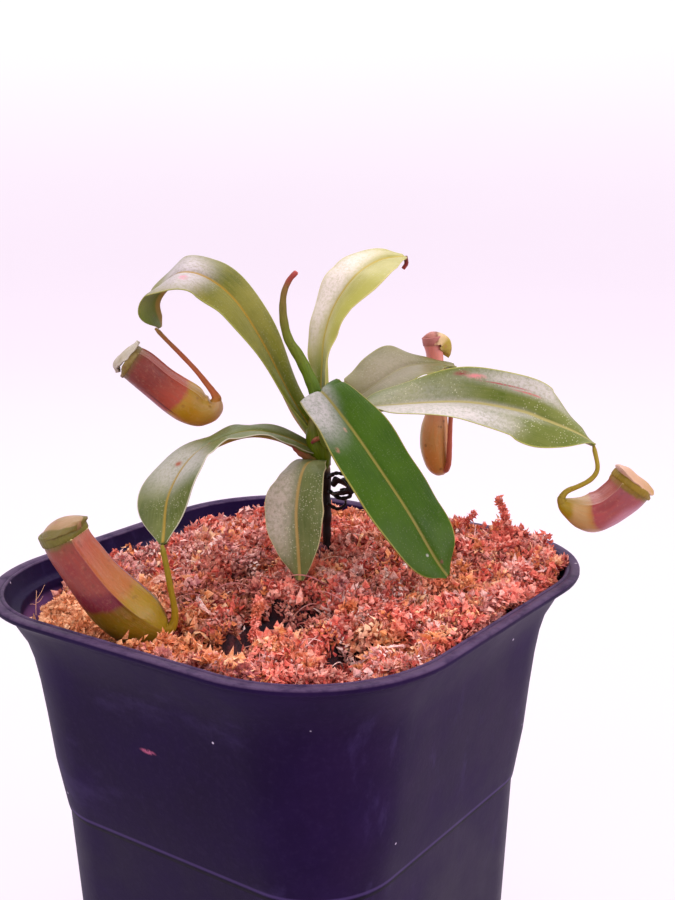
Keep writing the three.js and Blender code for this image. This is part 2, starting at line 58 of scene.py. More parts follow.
CAMERA_PLACE = (0.14839, -0.18926, 0.17610)
CAMERA_AZIMUTH = math.radians(35.8)
CAMERA_ELEVATION = math.radians(13.198)
CAMERA_ROLL = math.radians(-0.703)
CAMERA_LENS = 50.33  # millimetres

# Pot: height and half width of the outside, then the rim and ledge, then the inside from the top down

CORNER_CENTRE = 21.2
WALL = 1.3
FLOOR_HEIGHT = 1.8
LEDGE_HEIGHT = 91.4
OUTSIDE = [
    (0, 33.5), (0.25, 33.95), (0.9, 34.6), (48.8, 37.3), (49.2, 37.55), (49.8, 37.72), (60, 39.5), (70, 40.6),
    (77, 41.5), (82, 42.4), (86, 43.6), (89, 45.3), (91, 46.4), (92.4, 47.6), (93.3, 48.8), (93.7, 49.5),
]
RIM = [
    (93.9, 49.85), (94.2, 50), (94.7, 50), (94.9, 49.9), (95, 49.7), (95, 48.3), (94.8, 48.1), (94.75, 47.85),
    (94.95, 47.7), (95, 47.5), (94.9, 47.25), (94.6, 47.1), (92.2, 46.3), (91.6, 45.6), (91.4, 45),
    (91.4, 44.4), (91.1, 44.2),
]
# Half width of the space inside the rim, by height
THROAT = [(89, 44), (91.3, 44.1), (91.4, 45), (92.2, 46.2), (94.6, 47), (95.1, 48), (110, 48)]
INSIDE_HEIGHTS = (89, 86, 82, 77, 70, 60, 49.6, 49, 25, 3)  # of the wall's inner rings, downwards
POT_SIDES = (20, 8)  # steps round a corner and along a side
DRAIN_RADIUS = 3
DRAIN_OFFSET = 19
POT_INSIDE_START = 0.75  # share of the pot's rings where its inside begins
WALL_CRUMB = (-0.0015, -0.0408, 0.072)  # a crumb stuck to the wall, in metres

# Moss: level and swells, as x, y, height and spread in the pot's frame

MOSS_LEVEL = -2.9
MOSS_SWELLS = [
    (2, 9, 4.3, 14), (25, 33, 3, 9), (-42, -34, -5, 11), (-8, -34, -2.8, 8), (-44, 10, -1.3, 13),
]
# Dark hollows between the strands, in the plant's frame: x, y, depth, spread
HOLLOWS = [
    (-9, 3, 7, 3.8), (-12.5, -31, 8, 4.2), (-3.3, -20.5, 9, 3.9), (5, -18.5, 7, 2.8), (7.7, -42, 7, 2.8),
    (10, -34.5, 7, 2.5), (18, -36, 7, 2.8), (38.7, 17, 6, 2.8), (-24, -16, 6, 2.4), (26, -2, 6, 2.2),
    (-30, 12, 5, 2),
]
LUMPS = 5  # seed of the moss's lumps
LIT_MOSS = (-0.026, -0.031, 0.09)  # the middle of a pool of light painted on the moss, in metres

# Stem, spear and tendrils: x, y, z, radius

DEAD_STEM = [(7.5, 6, -14, 0.9), (7.5, 6, 2, 0.9), (7.5, 6, 13, 0.95), (7.4, 6, 20.3, 1)]
GREEN_STEM = [(7.4, 6, 19.8, 1.1), (7.2, 6, 24, 1.4), (6.8, 6, 29, 1.4), (6.3, 5.8, 33.6, 1.25)]
SPEAR = [
    (6, 5.4, 34.2, 1.3), (4.6, 5.8, 38, 1.25), (2.7, 6, 42.1, 1.1), (0.5, 6, 45.9, 0.95),
    (-0.4, 6, 50.1, 0.8), (-0.3, 6, 54.4, 0.65), (0.8, 6, 57.3, 0.55), (2.4, 6, 59.1, 0.55),
]
TENDRILS = {
    "1": [
        (-25.9, 16.3, 46.4, 0.45), (-24.2, 15.4, 44.7, 0.45), (-21.6, 14.2, 42.2, 0.48),
        (-18.6, 13, 39.1, 0.52), (-16.2, 12.3, 36.1, 0.6), (-14.9, 12, 34.3, 0.75),
        (-14.4, 12, 33.2, 1), (-14.6, 12, 32.2, 1.3),
    ],
    "2": [
        (-22.9, -23.1, 12.2, 0.5), (-22.4, -23, 9, 0.55), (-21.9, -22.8, 5, 0.55), (-21.4, -22.6, 1.4, 0.6),
        (-21.4, -22.5, -1, 0.7), (-22, -22.5, -2.6, 0.9), (-23.2, -22.5, -3.2, 1.2),
    ],
    "3": [
        (37.1, 31.8, 34.3, 0.5), (36.8, 32.5, 30.5, 0.5), (36.4, 33, 25, 0.5), (36.2, 33, 20.5, 0.55),
        (36.1, 33, 16.5, 0.6), (36, 33.3, 13.4, 0.65), (35.6, 34.3, 11.6, 0.7), (35.2, 35.7, 11.2, 0.9),
    ],
    "4": [
        (60.4, -1.1, 23.7, 0.45), (60.9, -1.8, 20.9, 0.45), (60.6, -2, 19.3, 0.48), (59.4, -2, 17.9, 0.5),
        (57.4, -2, 16.8, 0.5), (55.2, -2, 15.9, 0.55), (54.3, -2, 15.1, 0.65), (53.9, -2, 14.1, 0.9),
        (54.4, -2, 13.3, 1.2), (55.4, -2, 12.7, 1.5),
    ],
    "7": [(25.6, 25.2, 59.3, 0.45), (25.6, 25.2, 58.6, 0.45), (24.9, 25, 57.6, 0.4)],
}

# Leaf blades: the midrib's x, y, z, then the half width, the roll about the midrib and the fold of the halves

LEAVES = {
    "1": [
        (5.8, 6, 26.2, 1.2, 12, 20), (1.1, 7.5, 33.7, 3.7, 7, 15), (-4.8, 9, 45.5, 6.1, 13, 6),
        (-10, 10.5, 53.5, 7.2, 15, 0), (-15.5, 10.5, 58, 7.2, 20, 0), (-20.5, 10.5, 59, 7.5, 22, -2),
        (-24.5, 12.5, 56, 7.5, 12, 8), (-26.5, 13.5, 52.5, 6, 14, 20), (-26, 16, 47.5, 0.8, 36, 10),
    ],
    "2": [
        (5.9, 5.6, 23.3, 1.2, 50, 0), (0, 2, 27, 3.2, 27, 4), (-6.5, -2.5, 29.5, 4.5, 8, 2),
        (-13, -4.5, 28.5, 5.8, -16, 3), (-18.8, -7.5, 25.4, 7.6, -12, 6), (-22.5, -14, 20, 7.4, -9, 5),
        (-23, -22.4, 13.5, 0.8, 12, 2),
    ],
    "3": [
        (6.6, 4.9, 21.8, 1.2, 10, -6), (3.6, -0.3, 22.3, 4, -8, -5), (2, -4.6, 19.7, 5.3, -10, 2),
        (1.2, -6.8, 14, 6.5, -10, 12), (1.4, -8.9, 7.5, 4.5, -5, 7), (1.7, -9.7, 1.2, 0.7, -10, 6),
    ],
    "4": [
        (7.7, 4.8, 24.6, 1.2, -5, 4), (7.4, 1.8, 31, 2.9, -8, 4), (6.5, 0, 36.6, 5.3, -14, 0),
        (11.5, -4, 31, 7.5, -11, 5), (17, -10, 23.6, 8.5, -6, 1), (22.2, -15, 16, 8.4, -6, -1),
        (26.8, -17.4, 8, 5.6, -11, 2), (29.3, -18, 4.2, 0.9, 5, 1),
    ],
    "5": [
        (8, 6.5, 28.7, 1.2, 10, 4), (14.6, 6.6, 31.4, 2.7, -2, 4), (21, 7, 32.2, 6, -16, 12),
        (34.7, 4.6, 33, 7.4, -38, 26), (45.3, 1.5, 31.7, 7.2, -48, 13), (50.3, -0.8, 30.2, 7, -45, 2),
        (56.6, -1.2, 27.6, 4, -23, -6), (60.5, -0.8, 25.2, 0.8, 7, -4),
    ],
    "6": [
        (7.7, 7.2, 25.6, 1.2, -3, 12), (12.2, 15.2, 30.5, 3.2, -5, 16), (15.8, 17.4, 32.8, 5.6, -10, 14),
        (21.2, 21.6, 35.5, 7, -15, 14), (26, 26.2, 36.8, 6.8, -19, 13), (31.6, 29.5, 36.7, 3.9, -16, 3),
        (37, 31.5, 35.8, 0.8, -15, 5),
    ],
    "7": [
        (6.5, 7.2, 32, 1.4, 17, 7), (7, 10.2, 39.5, 3.1, 17, 8), (7.7, 13, 45.5, 5.2, 13, 6),
        (10, 15, 51.6, 6.4, 7, 2), (14.4, 16.6, 57.3, 7.2, -4, 0), (19.8, 21, 60, 5.2, -18, 3),
        (25.2, 24.6, 60.4, 0.9, -16, 5),
    ],
}
DEAD_LEAF = [
    (8.9, 4.9, 16.4, 0.6, 0, 10), (9.8, 4, 17.6, 1, 10, 25), (11, 3, 17.5, 1.2, 25, 30),
    (12.2, 2, 16.7, 1.2, 30, 20), (11.8, 1.5, 15.7, 1, 20, 10), (10.4, 2, 15.1, 0.9, 0, 0),
    (9, 3, 14.6, 0.7, 0, 0),
]

# Pitchers: where the flat front faces, then x, y, z, radius along the axis from base to mouth, then the
# lid's crest from its hinge: forwards and outwards from the mouth's centre, half width, thickness, droop of
# the sides

PITCHERS = {
    "1": (100, [
        (-14.3, 12, 33, 0.9), (-14.35, 12, 32.2, 1.4), (-14.75, 12, 31.5, 2), (-15.7, 12, 30.95, 2.7),
        (-17.6, 12, 30.8, 3.4), (-20, 12, 32.1, 4), (-22.8, 12, 34, 3.92), (-25.8, 12, 36.4, 3.66),
        (-29.3, 12, 39.55, 3.63), (-31.2, 12, 40.9, 3.4),
    ], [
        (-3.8, 1.5, 0.5, 0.7, 0), (-2.6, 2.8, 1.8, 1, 0), (-1.2, 3, 2.8, 1.25, 0), (0.3, 2.75, 3.4, 1.35, 0),
        (1.9, 2.3, 3.5, 1.35, 0), (3.4, 1.75, 2.8, 0.9, 0), (4.6, 1.45, 1.2, 0.6, 0),
    ]),
    "2": (126, [
        (-22.6, -22.5, -3.2, 0.8), (-23.3, -22.5, -3.3, 2.2), (-24.8, -22.3, -3, 3.6),
        (-26.8, -22, -1.9, 4.75), (-29, -22, -0.4, 5.3), (-31.5, -22, 1.9, 5.4), (-33.8, -22, 4.5, 5.1),
        (-35.8, -22, 7.2, 4.7), (-38, -22, 10.6, 4.5), (-39.5, -22, 13, 4.35), (-40.4, -22, 15.1, 4.25),
    ], [
        (-4.8, 1.4, 0.8, 0.6, 0), (-3.6, 2.1, 2.6, 1.3, 0), (-1.9, 2.9, 4, 2.1, 0), (0.2, 3.3, 4.5, 2.5, 0),
        (2.8, 2.8, 4.2, 2, 0), (4.4, 2.4, 3.2, 1.7, 0), (5.2, 2, 2.2, 1.6, 0),
    ]),
    "3": (90, [
        (35.6, 36.5, 10.3, 0.9), (35.1, 36.5, 10.7, 1.9), (34.4, 36.5, 12, 2.8), (33.7, 36.5, 14.2, 3.2),
        (33.2, 36.5, 17.1, 3.35), (33.2, 36.5, 20.6, 3.15), (33.5, 36.5, 23.6, 2.55), (33.6, 36.5, 27, 2.15),
        (33.4, 36.5, 32, 1.95), (33.1, 36.5, 37.4, 1.9), (32.7, 36.5, 40.1, 2.2),
    ], [
        (-2.4, 1.4, 1.2, 0.75, 0.1), (-1.4, 2.15, 2, 0.75, 0.3), (-0.2, 2.5, 2.4, 0.75, 0.4),
        (1.3, 2.3, 2.6, 0.75, 0.4), (2.8, 1.5, 2.6, 0.75, 0.4), (3.8, 0.1, 2.4, 0.75, 0.4),
        (4, -1.7, 2, 0.75, 0.3), (3.6, -3.1, 1.3, 0.75, 0.2), (2.9, -3.9, 0.5, 0.75, 0),
    ]),
    "4": (-110, [
        (53.7, -2, 13.5, 0.9), (54.4, -2, 13, 1.5), (55.7, -2, 12.3, 2.2), (57.7, -2, 11.4, 3.2),
        (60, -2, 11.1, 3.85), (62.6, -2, 12, 3.8), (64.9, -2, 13.6, 3.9), (66.5, -2, 15, 4.05),
        (67.6, -2, 16.5, 4.3),
    ], [
        (-5.3, 1.9, 1.2, 0.8, 0), (-3.4, 2.4, 3.2, 1.6, 0), (-0.3, 2.6, 4.3, 1.8, 0), (2.5, 2.8, 4, 2, 0),
        (4.4, 2.5, 2.6, 1.5, 0), (5.4, 2, 0.9, 0.7, 0),
    ]),
}
PITCHER_WALL = 0.7
WING_ANGLE = 30
WING_HEIGHT = 0.28
FRONT_FLATNESS = 0.75
SEAM_REACH = 1e-7  # how close a seam's points are, in metres
LIP_HEIGHT = 0.4
LID_EDGE = 0.6
AWAY = np.array([0.0, 1.0, 0.0])
MOUTH_PLACE = 0.985  # share of a pitcher's axis where its skin ends
COLLAR_PLACE = 0.992  # share where its collar sits
LINING_END = 0.24  # share where its lining ends
CUP_STEPS = 70
LINING_STEPS = 24
COLLAR_SIDES = 144
COLLAR_RIBS = 36
COLLAR_SECTION = 13  # points round the lip
LID_STEPS = 56
LID_COLUMNS = 23
ROD_END = 0.6  # share of a rod's radius left at its very ends
TENDRIL_RUN_IN = 1.0

# Floor and backdrop, in metres

FLOOR_RINGS = (0.0005, 0.2, 0.6)
FLOOR_REACH = 1.3
SWEEP_RADIUS = 0.9
SWEEP_STEPS = 12
BACKDROP_TOP = 3.2
STAGE_SIDES = 96

# Moss strands that stand out most, in the plant's frame: x, y, z, radius

TALL_STRANDS = [
    [(44.4, 8, 0, 1.1), (45.2, 8, 4.9, 1), (44.3, 8, 8.6, 0.8), (43, 8, 11.8, 0.5)],
    [(33, 14, 1, 1), (35, 14, 4.2, 0.9), (37.2, 14, 5.4, 0.8), (39.2, 14, 7, 0.5)],
    [(37, 2, -1.5, 0.9), (39.5, 2, 2, 0.8), (43, 2.4, 3.5, 0.8), (46, 3, 4, 0.6)],
    [(-42, 14, -8, 0.8), (-41, 14, -4, 0.8), (-38.6, 14, -1.5, 0.7), (-36.6, 14, 0.8, 0.5)],
    [(-38, -14, 0, 0.6), (-42, -13, 0.2, 0.7), (-45, -12, -0.9, 1), (-47.6, -12, -2.4, 1.1)],
    [(-6, -13, -2, 1), (-6.2, -19, -0.4, 1.3), (-6.6, -25, -0.8, 1.2), (-7, -30, -2.4, 0.9)],
]
# Broad pale flakes that lie on the moss, in the same way, with half widths
BROAD_FLAKES = [
    [(20.5, -28, -2.6, 0.6), (25, -22, -1.2, 0.9), (29, -17, -0.8, 0.85), (32.5, -13.5, -1.8, 0.4)],
    [(-17, -8.5, -1.6, 0.4), (-18, -12.5, -0.6, 0.7), (-17.2, -16, -0.6, 0.7), (-15, -18.5, -1.8, 0.4)],
    [(11.5, -44.5, -1.6, 0.6), (14, -42.6, -0.2, 1.1), (17.5, -41, -0.4, 1), (20, -38.5, -1.6, 0.5)],
    [(-30, -2, -2.8, 0.5), (-26.5, 1, -1.4, 0.8), (-22.5, 3, -1.6, 0.5)],
]
# Purple-brown roots below the stem, and fine white threads on the pot's inner wall
ROOTS = [
    [(6.6, 5, 3, 0.9), (6.3, 0, 1, 1.1), (5.9, -6, -1, 1), (5.4, -13, -3.6, 0.7)],
    [(8.6, 5.6, 2, 0.8), (10, 1, 0, 0.8), (11, -4, -2.2, 0.6)],
]
THREADS = [
    [(-48.7, -12, -3.6, 0.03), (-49, -10, -2.2, 0.05), (-49.2, -7.6, -0.2, 0.03)],
    [(-49, -10, -2.2, 0.05), (-49.4, -11.2, -1.6, 0.03), (-49.6, -12.4, -1.2, 0.02)],
    [(-49, -9.6, -2, 0.04), (-48.6, -8.4, -2.1, 0.03), (-48.2, -6.8, -1.6, 0.02)],
    [(-49.1, -9, -1.6, 0.03), (-48.6, -7, -1, 0.03), (-48, -5.4, 0.2, 0.02)],
]
# Leaf bases that clasp the stem, then a reddish bract and a brown bud beside it
CLASPS = [
    [
        (5.4, 5.2, 30.5, 0.9), (5.3, 5.2, 27.4, 1.7), (5.7, 5.2, 24.5, 2), (6.4, 5.4, 22, 1.7),
        (7.2, 5.8, 19.6, 1),
    ],
    [(7.2, 5.2, 29, 0.8), (7.3, 5, 26, 1.4), (7.2, 5.2, 23, 1.5), (7.2, 5.6, 20.4, 1.1)],
]
BRACT = [(0.4, 2.2, 25.6, 0.15), (1.6, 2.4, 24.4, 0.55), (3.2, 3, 23, 0.8), (5, 4, 21.6, 0.7)]
BUD = [(4.6, 3.4, 25.4, 0.25), (5.6, 3.2, 26.2, 0.5), (6.9, 3.4, 26.4, 0.35)]
# Curls of the dead leaf beside the stem
DEAD_CURLS = [
    [
        (8, 4.5, 15.2, 0.4), (10.2, 3, 14, 0.42), (12.2, 2.4, 14.6, 0.38), (11.9, 2.2, 16, 0.34),
        (10.2, 2.8, 15.8, 0.28),
    ],
    [(7.9, 4.5, 18, 0.42), (9.5, 3, 19.2, 0.38), (11.7, 3, 18.6, 0.33), (12.7, 3.2, 17.2, 0.25)],
    [(7.7, 4.2, 12.6, 0.38), (9.6, 3, 11.8, 0.36), (11.1, 2.8, 12.6, 0.3), (11.3, 3, 13.6, 0.22)],
]


# Camera, floor and light


def place_camera():
    """The camera stands where the picture was taken from, tilted by its small roll."""
    az, el = CAMERA_AZIMUTH, CAMERA_ELEVATION
    back = Vector((math.sin(az) * math.cos(el), -math.cos(az) * math.cos(el), math.sin(el)))
    level = Vector((0, 0, 1)).cross(back).normalized()
    upright = back.cross(level)
    right = math.cos(CAMERA_ROLL) * level + math.sin(CAMERA_ROLL) * upright
    top = -math.sin(CAMERA_ROLL) * level + math.cos(CAMERA_ROLL) * upright
    camera = bpy.data.objects.new("camera", bpy.data.cameras.new("camera"))
    camera.data.lens = CAMERA_LENS
    camera.data.clip_start = 0.01
    turn = Matrix((right, top, back)).transposed().to_4x4()
    camera.matrix_world = Matrix.Translation(CAMERA_PLACE) @ turn
    bpy.context.scene.collection.objects.link(camera)
    bpy.context.scene.camera = camera


def softbox(name, place, size, power, colour):
    """A square studio light, aimed at the plant."""
    data = bpy.data.lights.new(name, "AREA")
    data.size = size
    data.energy = power
    data.color = colour
    light = bpy.data.objects.new(name, data)
    light.location = place
    aim = Vector((0, 0, RIM_HEIGHT * MM)) - Vector(place)
    light.rotation_euler = aim.to_track_quat("-Z", "Y").to_euler()
    bpy.context.scene.collection.objects.link(light)


# Curves, frames and skins


def unit(vectors):
    """The vectors at length 1."""
    return vectors / np.linalg.norm(vectors, axis=-1, keepdims=True)


def along_rows(rows, places):
    """Values at places from 0 to 1 on the smooth curve through the rows."""
    rows = np.array(rows, float)
    rows = np.vstack([2 * rows[0] - rows[1], rows, 2 * rows[-1] - rows[-2]])
    spot = np.clip(places, 0, 1) * (len(rows) - 3)
    index = np.minimum(spot.astype(int), len(rows) - 4)
    part = (spot - index)[:, None]
    a, b, c, d = (rows[index + k] for k in range(4))
    bend = (2 * a - 5 * b + 4 * c - d) * part**2 + (3 * b - a - 3 * c + d) * part**3
    return 0.5 * (2 * b + (c - a) * part + bend)


def frames(rows, places, reference):
    """Values, direction, side and upright at each place on the curve."""
    step = 0.002
    values = along_rows(rows, places)
    along = unit(along_rows(rows, places + step)[:, :3] - along_rows(rows, places - step)[:, :3])
    side = unit(reference - (along @ reference)[:, None] * along)
    return values, along, side, np.cross(side, along)


def to_pot(points):
    """From the plant's frame to the pot's."""
    points = np.asarray(points, float)
    c, s = math.cos(PLANT_TURN), math.sin(PLANT_TURN)
    x, y, z = points[..., 0], points[..., 1], points[..., 2]
    return np.stack([c * x - s * y, s * x + c * y, z + RIM_HEIGHT], -1)


def smooth_step(values, low, high):
    """0 below low and 1 above high, with a soft change between."""
    part = np.clip((values - low) / (high - low), 0, 1)
    return part * part * (3 - 2 * part)


def lengths(points):
    """Distance along a line of points, from its start."""
    return np.concatenate([[0], np.cumsum(np.linalg.norm(np.diff(points, axis=0), axis=1))])


def face_outwards(mesh, merge=0.0):
    """Turns a closed mesh's faces outwards, once its points within the merge distance are joined."""
    work = bmesh.new()
    work.from_mesh(mesh)
    if merge:
        bmesh.ops.remove_doubles(work, verts=work.verts, dist=merge)
    bmesh.ops.recalc_face_normals(work, faces=work.faces)
    work.to_mesh(mesh)
    work.free()


class Skin:
    """Points, faces and each corner's places on the surface, collected for one piece.

    place is the share across and along. flat is the true distance across and along, in centimetres.
    """

    def __init__(self):
        self.points, self.faces, self.place, self.flat, self.looks = [], [], [], [], []
        self.count = 0

    def grid(self, rings, place, flat=None, closed=True, look=0, ends=(False, False)):
        """Adds a grid of points and its faces, closed round and capped at its ends where asked."""
        rows, size = rings.shape[:2]
        index = self.count + np.arange(rows * size).reshape(rows, size)
        self.points.append(rings.reshape(-1, 3))
        self.count += rows * size
        flat = place if flat is None else flat
        if closed:
            index = np.hstack([index, index[:, :1]])
        for table, into in ((index, self.faces), (place, self.place), (flat, self.flat)):
            corners = np.stack([table[:-1, :-1], table[:-1, 1:], table[1:, 1:], table[1:, :-1]], 2)
            flat_corners = corners.reshape((-1, 4) if table is index else (-1, 2))
            into.extend(flat_corners.tolist())
        for wanted, row in zip(ends, (0, -1)):
            if wanted:
                self.faces.append(index[row, :size].tolist())
                self.place.extend(place[row, :size].tolist())
                self.flat.extend(flat[row, :size].tolist())
        self.looks += [look] * (len(self.faces) - len(self.looks))

    def piece(self, name, materials, slot, replaced=(), closed=True, smooth=True):
        """Makes the object, which rides on the part's one body."""
        mesh = bpy.data.meshes.new(name)
        mesh.from_pydata((np.concatenate(self.points) * MM).tolist(), [], self.faces)
        for label, values in (("place", self.place), ("flat", self.flat)):
            layer = mesh.uv_layers.new(name=label)
            layer.data.foreach_set("uv", np.array(values, np.float32).ravel())
        for material in materials:
            mesh.materials.append(material)
        mesh.polygons.foreach_set("material_index", self.looks)
        mesh.polygons.foreach_set("use_smooth", [smooth] * len(self.faces))
        if closed:
            face_outwards(mesh)
        obj = bpy.data.objects.new(name, mesh)
        bpy.context.scene.collection.objects.link(obj)
        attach(obj, "root")
        if replaced:
            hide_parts(*replaced)
        return obj


def chart(across, along):
    """A grid of corner places from one line of shares across and one along."""
    return np.stack(np.broadcast_arrays(across[None, :], along[:, None]), -1)


def ring_chart(rings):
    """Shares round and along for closed rings."""
    return chart(np.linspace(0, 1, rings.shape[1] + 1), np.linspace(0, 1, len(rings)))


def tube(skin, path, radii, sides, tone=None):
    """A closed round tube along a path, with its tone as the place across where one is given."""
    along = unit(np.gradient(path, axis=0))
    steep = abs(along[:, 2]).mean() >= 0.8
    reference = np.array([0.93, 0.31, 0.17] if steep else [0.31, 0.17, 0.93])
    side = unit(reference - (along @ reference)[:, None] * along)
    upright = np.cross(side, along)
    angle = np.linspace(0, 2 * math.pi, sides, endpoint=False)
    rings = path[:, None] + radii[:, None, None] * (
        side[:, None] * np.cos(angle)[None, :, None] + upright[:, None] * np.sin(angle)[None, :, None])
    shares = np.linspace(0, 1, len(path))
    across = np.linspace(0, 1, sides + 1) if tone is None else np.full(sides + 1, tone)
    around = np.linspace(0, 2 * math.pi, sides + 1) * radii.mean() / 10
    skin.grid(rings, chart(across, shares), chart(around, lengths(path) / 10), ends=(True, True))


# Shader helpers


def colour(text):
    """Linear colour from a hex text."""
    parts = [int(text[k : k + 2], 16) / 255 for k in (1, 3, 5)]
    linear = [p / 12.92 if p <= 0.04045 else ((p + 0.055) / 1.055) ** 2.4 for p in parts]
    return (*linear, 1)


def fill_inputs(node, inputs):
    """Links sockets to a node's inputs, and sets plain values on them."""
    for name, value in inputs.items():
        if isinstance(value, bpy.types.NodeSocket):
            node.id_data.links.new(value, node.inputs[name])
        else:
            node.inputs[name].default_value = value


def add(tree, kind, inputs=(), out=0, **settings):
    """Adds a shader node and gives one of its outputs."""
    made = tree.nodes.new("ShaderNode" + kind)
    for name, value in settings.items():
        setattr(made, name, value)
    fill_inputs(made, dict(inputs))
    return made.outputs[out]


def tree_of(*values):
    """The node tree that the first socket among some values belongs to."""
    return next(value.id_data for value in values if isinstance(value, bpy.types.NodeSocket))


def calculate(operation, a, b=0.0):
    """One step of arithmetic on sockets or numbers."""
    return add(tree_of(a, b), "Math", {0: a, 1: b}, operation=operation)


def times(a, b):
    return calculate("MULTIPLY", a, b)


def plus(a, b):
    return calculate("ADD", a, b)


def swing(value, reach):
    """A value that varies round a half, turned into one that varies round zero over a reach."""
    return times(calculate("SUBTRACT", value, 0.5), reach)


def blend(factor, a, b, kind="MIX"):
    """Colour a turned towards colour b by the factor."""
    inputs = {0: factor, 6: a, 7: b}
    return add(tree_of(factor, a, b), "Mix", inputs, 2, data_type="RGBA", blend_type=kind)


def tint(base, mask, text, amount=1.0, kind="MIX"):
    """The base turned towards a colour where the mask is, up to an amount."""
    return blend(mask if amount == 1.0 else times(mask, amount), base, colour(text), kind)


def fade(value, low, high, start=0.0, end=1.0):
    """A value from start to end, by where another lies from low to high."""
    inputs = {"Value": value, "From Min": low, "From Max": high, "To Min": start, "To Max": end}
    return add(tree_of(value), "MapRange", inputs, interpolation_type="SMOOTHSTEP")


def ramp(value, stops):
    """Colour by value, through stops of place and hex text."""
    made = tree_of(value).nodes.new("ShaderNodeValToRGB")
    fill_inputs(made, {"Fac": value})
    elements = made.color_ramp.elements
    while len(elements) < len(stops):
        elements.new(0.5)
    for element, (place, text) in zip(elements, stops):
        element.position = place
        element.color = colour(text)
    return made.outputs["Color"]


def noise(vector, scale, detail=3.0, roughness=0.55, distortion=0.0):
    """A cloudy value that varies round a half."""
    inputs = {"Vector": vector, "Scale": scale, "Detail": detail}
    inputs |= {"Roughness": roughness, "Distortion": distortion}
    return add(tree_of(vector), "TexNoise", inputs, "Fac")


def parts_of(vector):
    """The three parts of a vector."""
    split = tree_of(vector).nodes.new("ShaderNodeSeparateXYZ")
    fill_inputs(split, {0: vector})
    return tuple(split.outputs)


def surface_places(tree, name):
    """A chart's vector and its two parts."""
    vector = add(tree, "UVMap", uv_map=name)
    return vector, *parts_of(vector)[:2]


def object_places(tree):
    """Places in the part's own frame, in metres."""
    return add(tree, "TexCoord", out="Object")


def group(name, inputs, output, build):
    """A node group with one output, which several finishes share."""
    tree = bpy.data.node_groups.new(name, "ShaderNodeTree")
    for label, kind, value in inputs:
        socket = tree.interface.new_socket(name=label, in_out="INPUT", socket_type="NodeSocket" + kind)
        if value is not None:
            socket.default_value = value
    tree.interface.new_socket(name=output, in_out="OUTPUT", socket_type="NodeSocketFloat")
    entry = tree.nodes.new("NodeGroupInput")
    leave = tree.nodes.new("NodeGroupOutput")
    tree.links.new(build(entry.outputs), leave.inputs[output])
    return tree


def use(shared, inputs):
    """Adds a shared group and gives its output."""
    made = tree_of(*inputs.values()).nodes.new("ShaderNodeGroup")
    made.node_tree = shared
    fill_inputs(made, inputs)
    return made.outputs[0]


# Shared effects


def build_spots(given):
    """Round spots in some of the cells of a cell pattern."""
    tree = given["Vector"].id_data
    cells = tree.nodes.new("ShaderNodeTexVoronoi")
    fill_inputs(cells, {"Vector": given["Vector"], "Scale": given["Scale"]})
    chance = add(tree, "SeparateColor", {0: cells.outputs["Color"]})
    spot = fade(cells.outputs["Distance"], times(given["Size"], 0.55), given["Size"], 1.0, 0.0)
    return times(spot, calculate("LESS_THAN", chance, given["Share"]))


def build_region(given):
    """A soft oval on a chart."""
    tree = given["Place"].id_data
    offset = add(tree, "VectorMath", {0: given["Place"], 1: given["Centre"]}, operation="SUBTRACT")
    scaled = add(tree, "VectorMath", {0: offset, 1: given["Reach"]}, operation="DIVIDE")
    distance = add(tree, "VectorMath", {0: scaled}, "Value", operation="LENGTH")
    return fade(distance, given["Core"], 1.0, 1.0, 0.0)


def build_stripe(given):
    """A line where a value is near a centre."""
    distance = calculate("ABSOLUTE", calculate("SUBTRACT", given["Value"], given["Centre"]))
    return fade(distance, given["Half"], given["Outer"], 1.0, 0.0)


def build_streaks(given):
    """Fine lines along the second direction of a chart."""
    tree = given["Flat"].id_data
    stretched = add(tree, "VectorMath", {0: given["Flat"], 1: given["Stretch"]}, operation="MULTIPLY")
    return fade(noise(stretched, 1.0, 4.0, 0.6), 0.36, 0.64)


SPOT_INPUTS = [
    ("Vector", "Vector", None), ("Scale", "Float", 100.0), ("Size", "Float", 0.3), ("Share", "Float", 0.5),
]
REGION_INPUTS = [
    ("Place", "Vector", None), ("Centre", "Vector", (0.5, 0.5, 0)), ("Reach", "Vector", (0.2, 0.2, 1)),
    ("Core", "Float", 0.4),
]
STRIPE_INPUTS = [
    ("Value", "Float", 0.0), ("Centre", "Float", 0.0), ("Half", "Float", 0.05), ("Outer", "Float", 0.1),
]
STREAK_INPUTS = [("Flat", "Vector", None), ("Stretch", "Vector", (12, 1, 1))]

SPOTS = group("spots", SPOT_INPUTS, "Mask", build_spots)
REGION = group("soft oval", REGION_INPUTS, "Mask", build_region)
STRIPE = group("stripe", STRIPE_INPUTS, "Mask", build_stripe)
STREAKS = group("streaks", STREAK_INPUTS, "Tone", build_streaks)


def spots(where, scale, size, share):
    """A mask of round spots in a share of a pattern's cells."""
    return use(SPOTS, {"Vector": where, "Scale": scale, "Size": size, "Share": share})


def region(place, centre, reach, core):
    """A soft oval mask round a centre, full out to its core."""
    return use(REGION, {"Place": place, "Centre": centre, "Reach": reach, "Core": core})


def oval(place, centre, size, core):
    """A soft oval on a flat chart."""
    return region(place, (*centre, 0), (*size, 1), core)


def stripe(value, centre, half, outer):
    """A mask where a value is within half of a centre, fading out by outer."""
    return use(STRIPE, {"Value": value, "Centre": centre, "Half": half, "Outer": outer})


def streaks(flat, *stretch):
    """Fine lines on a true chart, by how far each direction is stretched."""
    return use(STREAKS, {"Flat": flat, "Stretch": (*stretch, 1)})


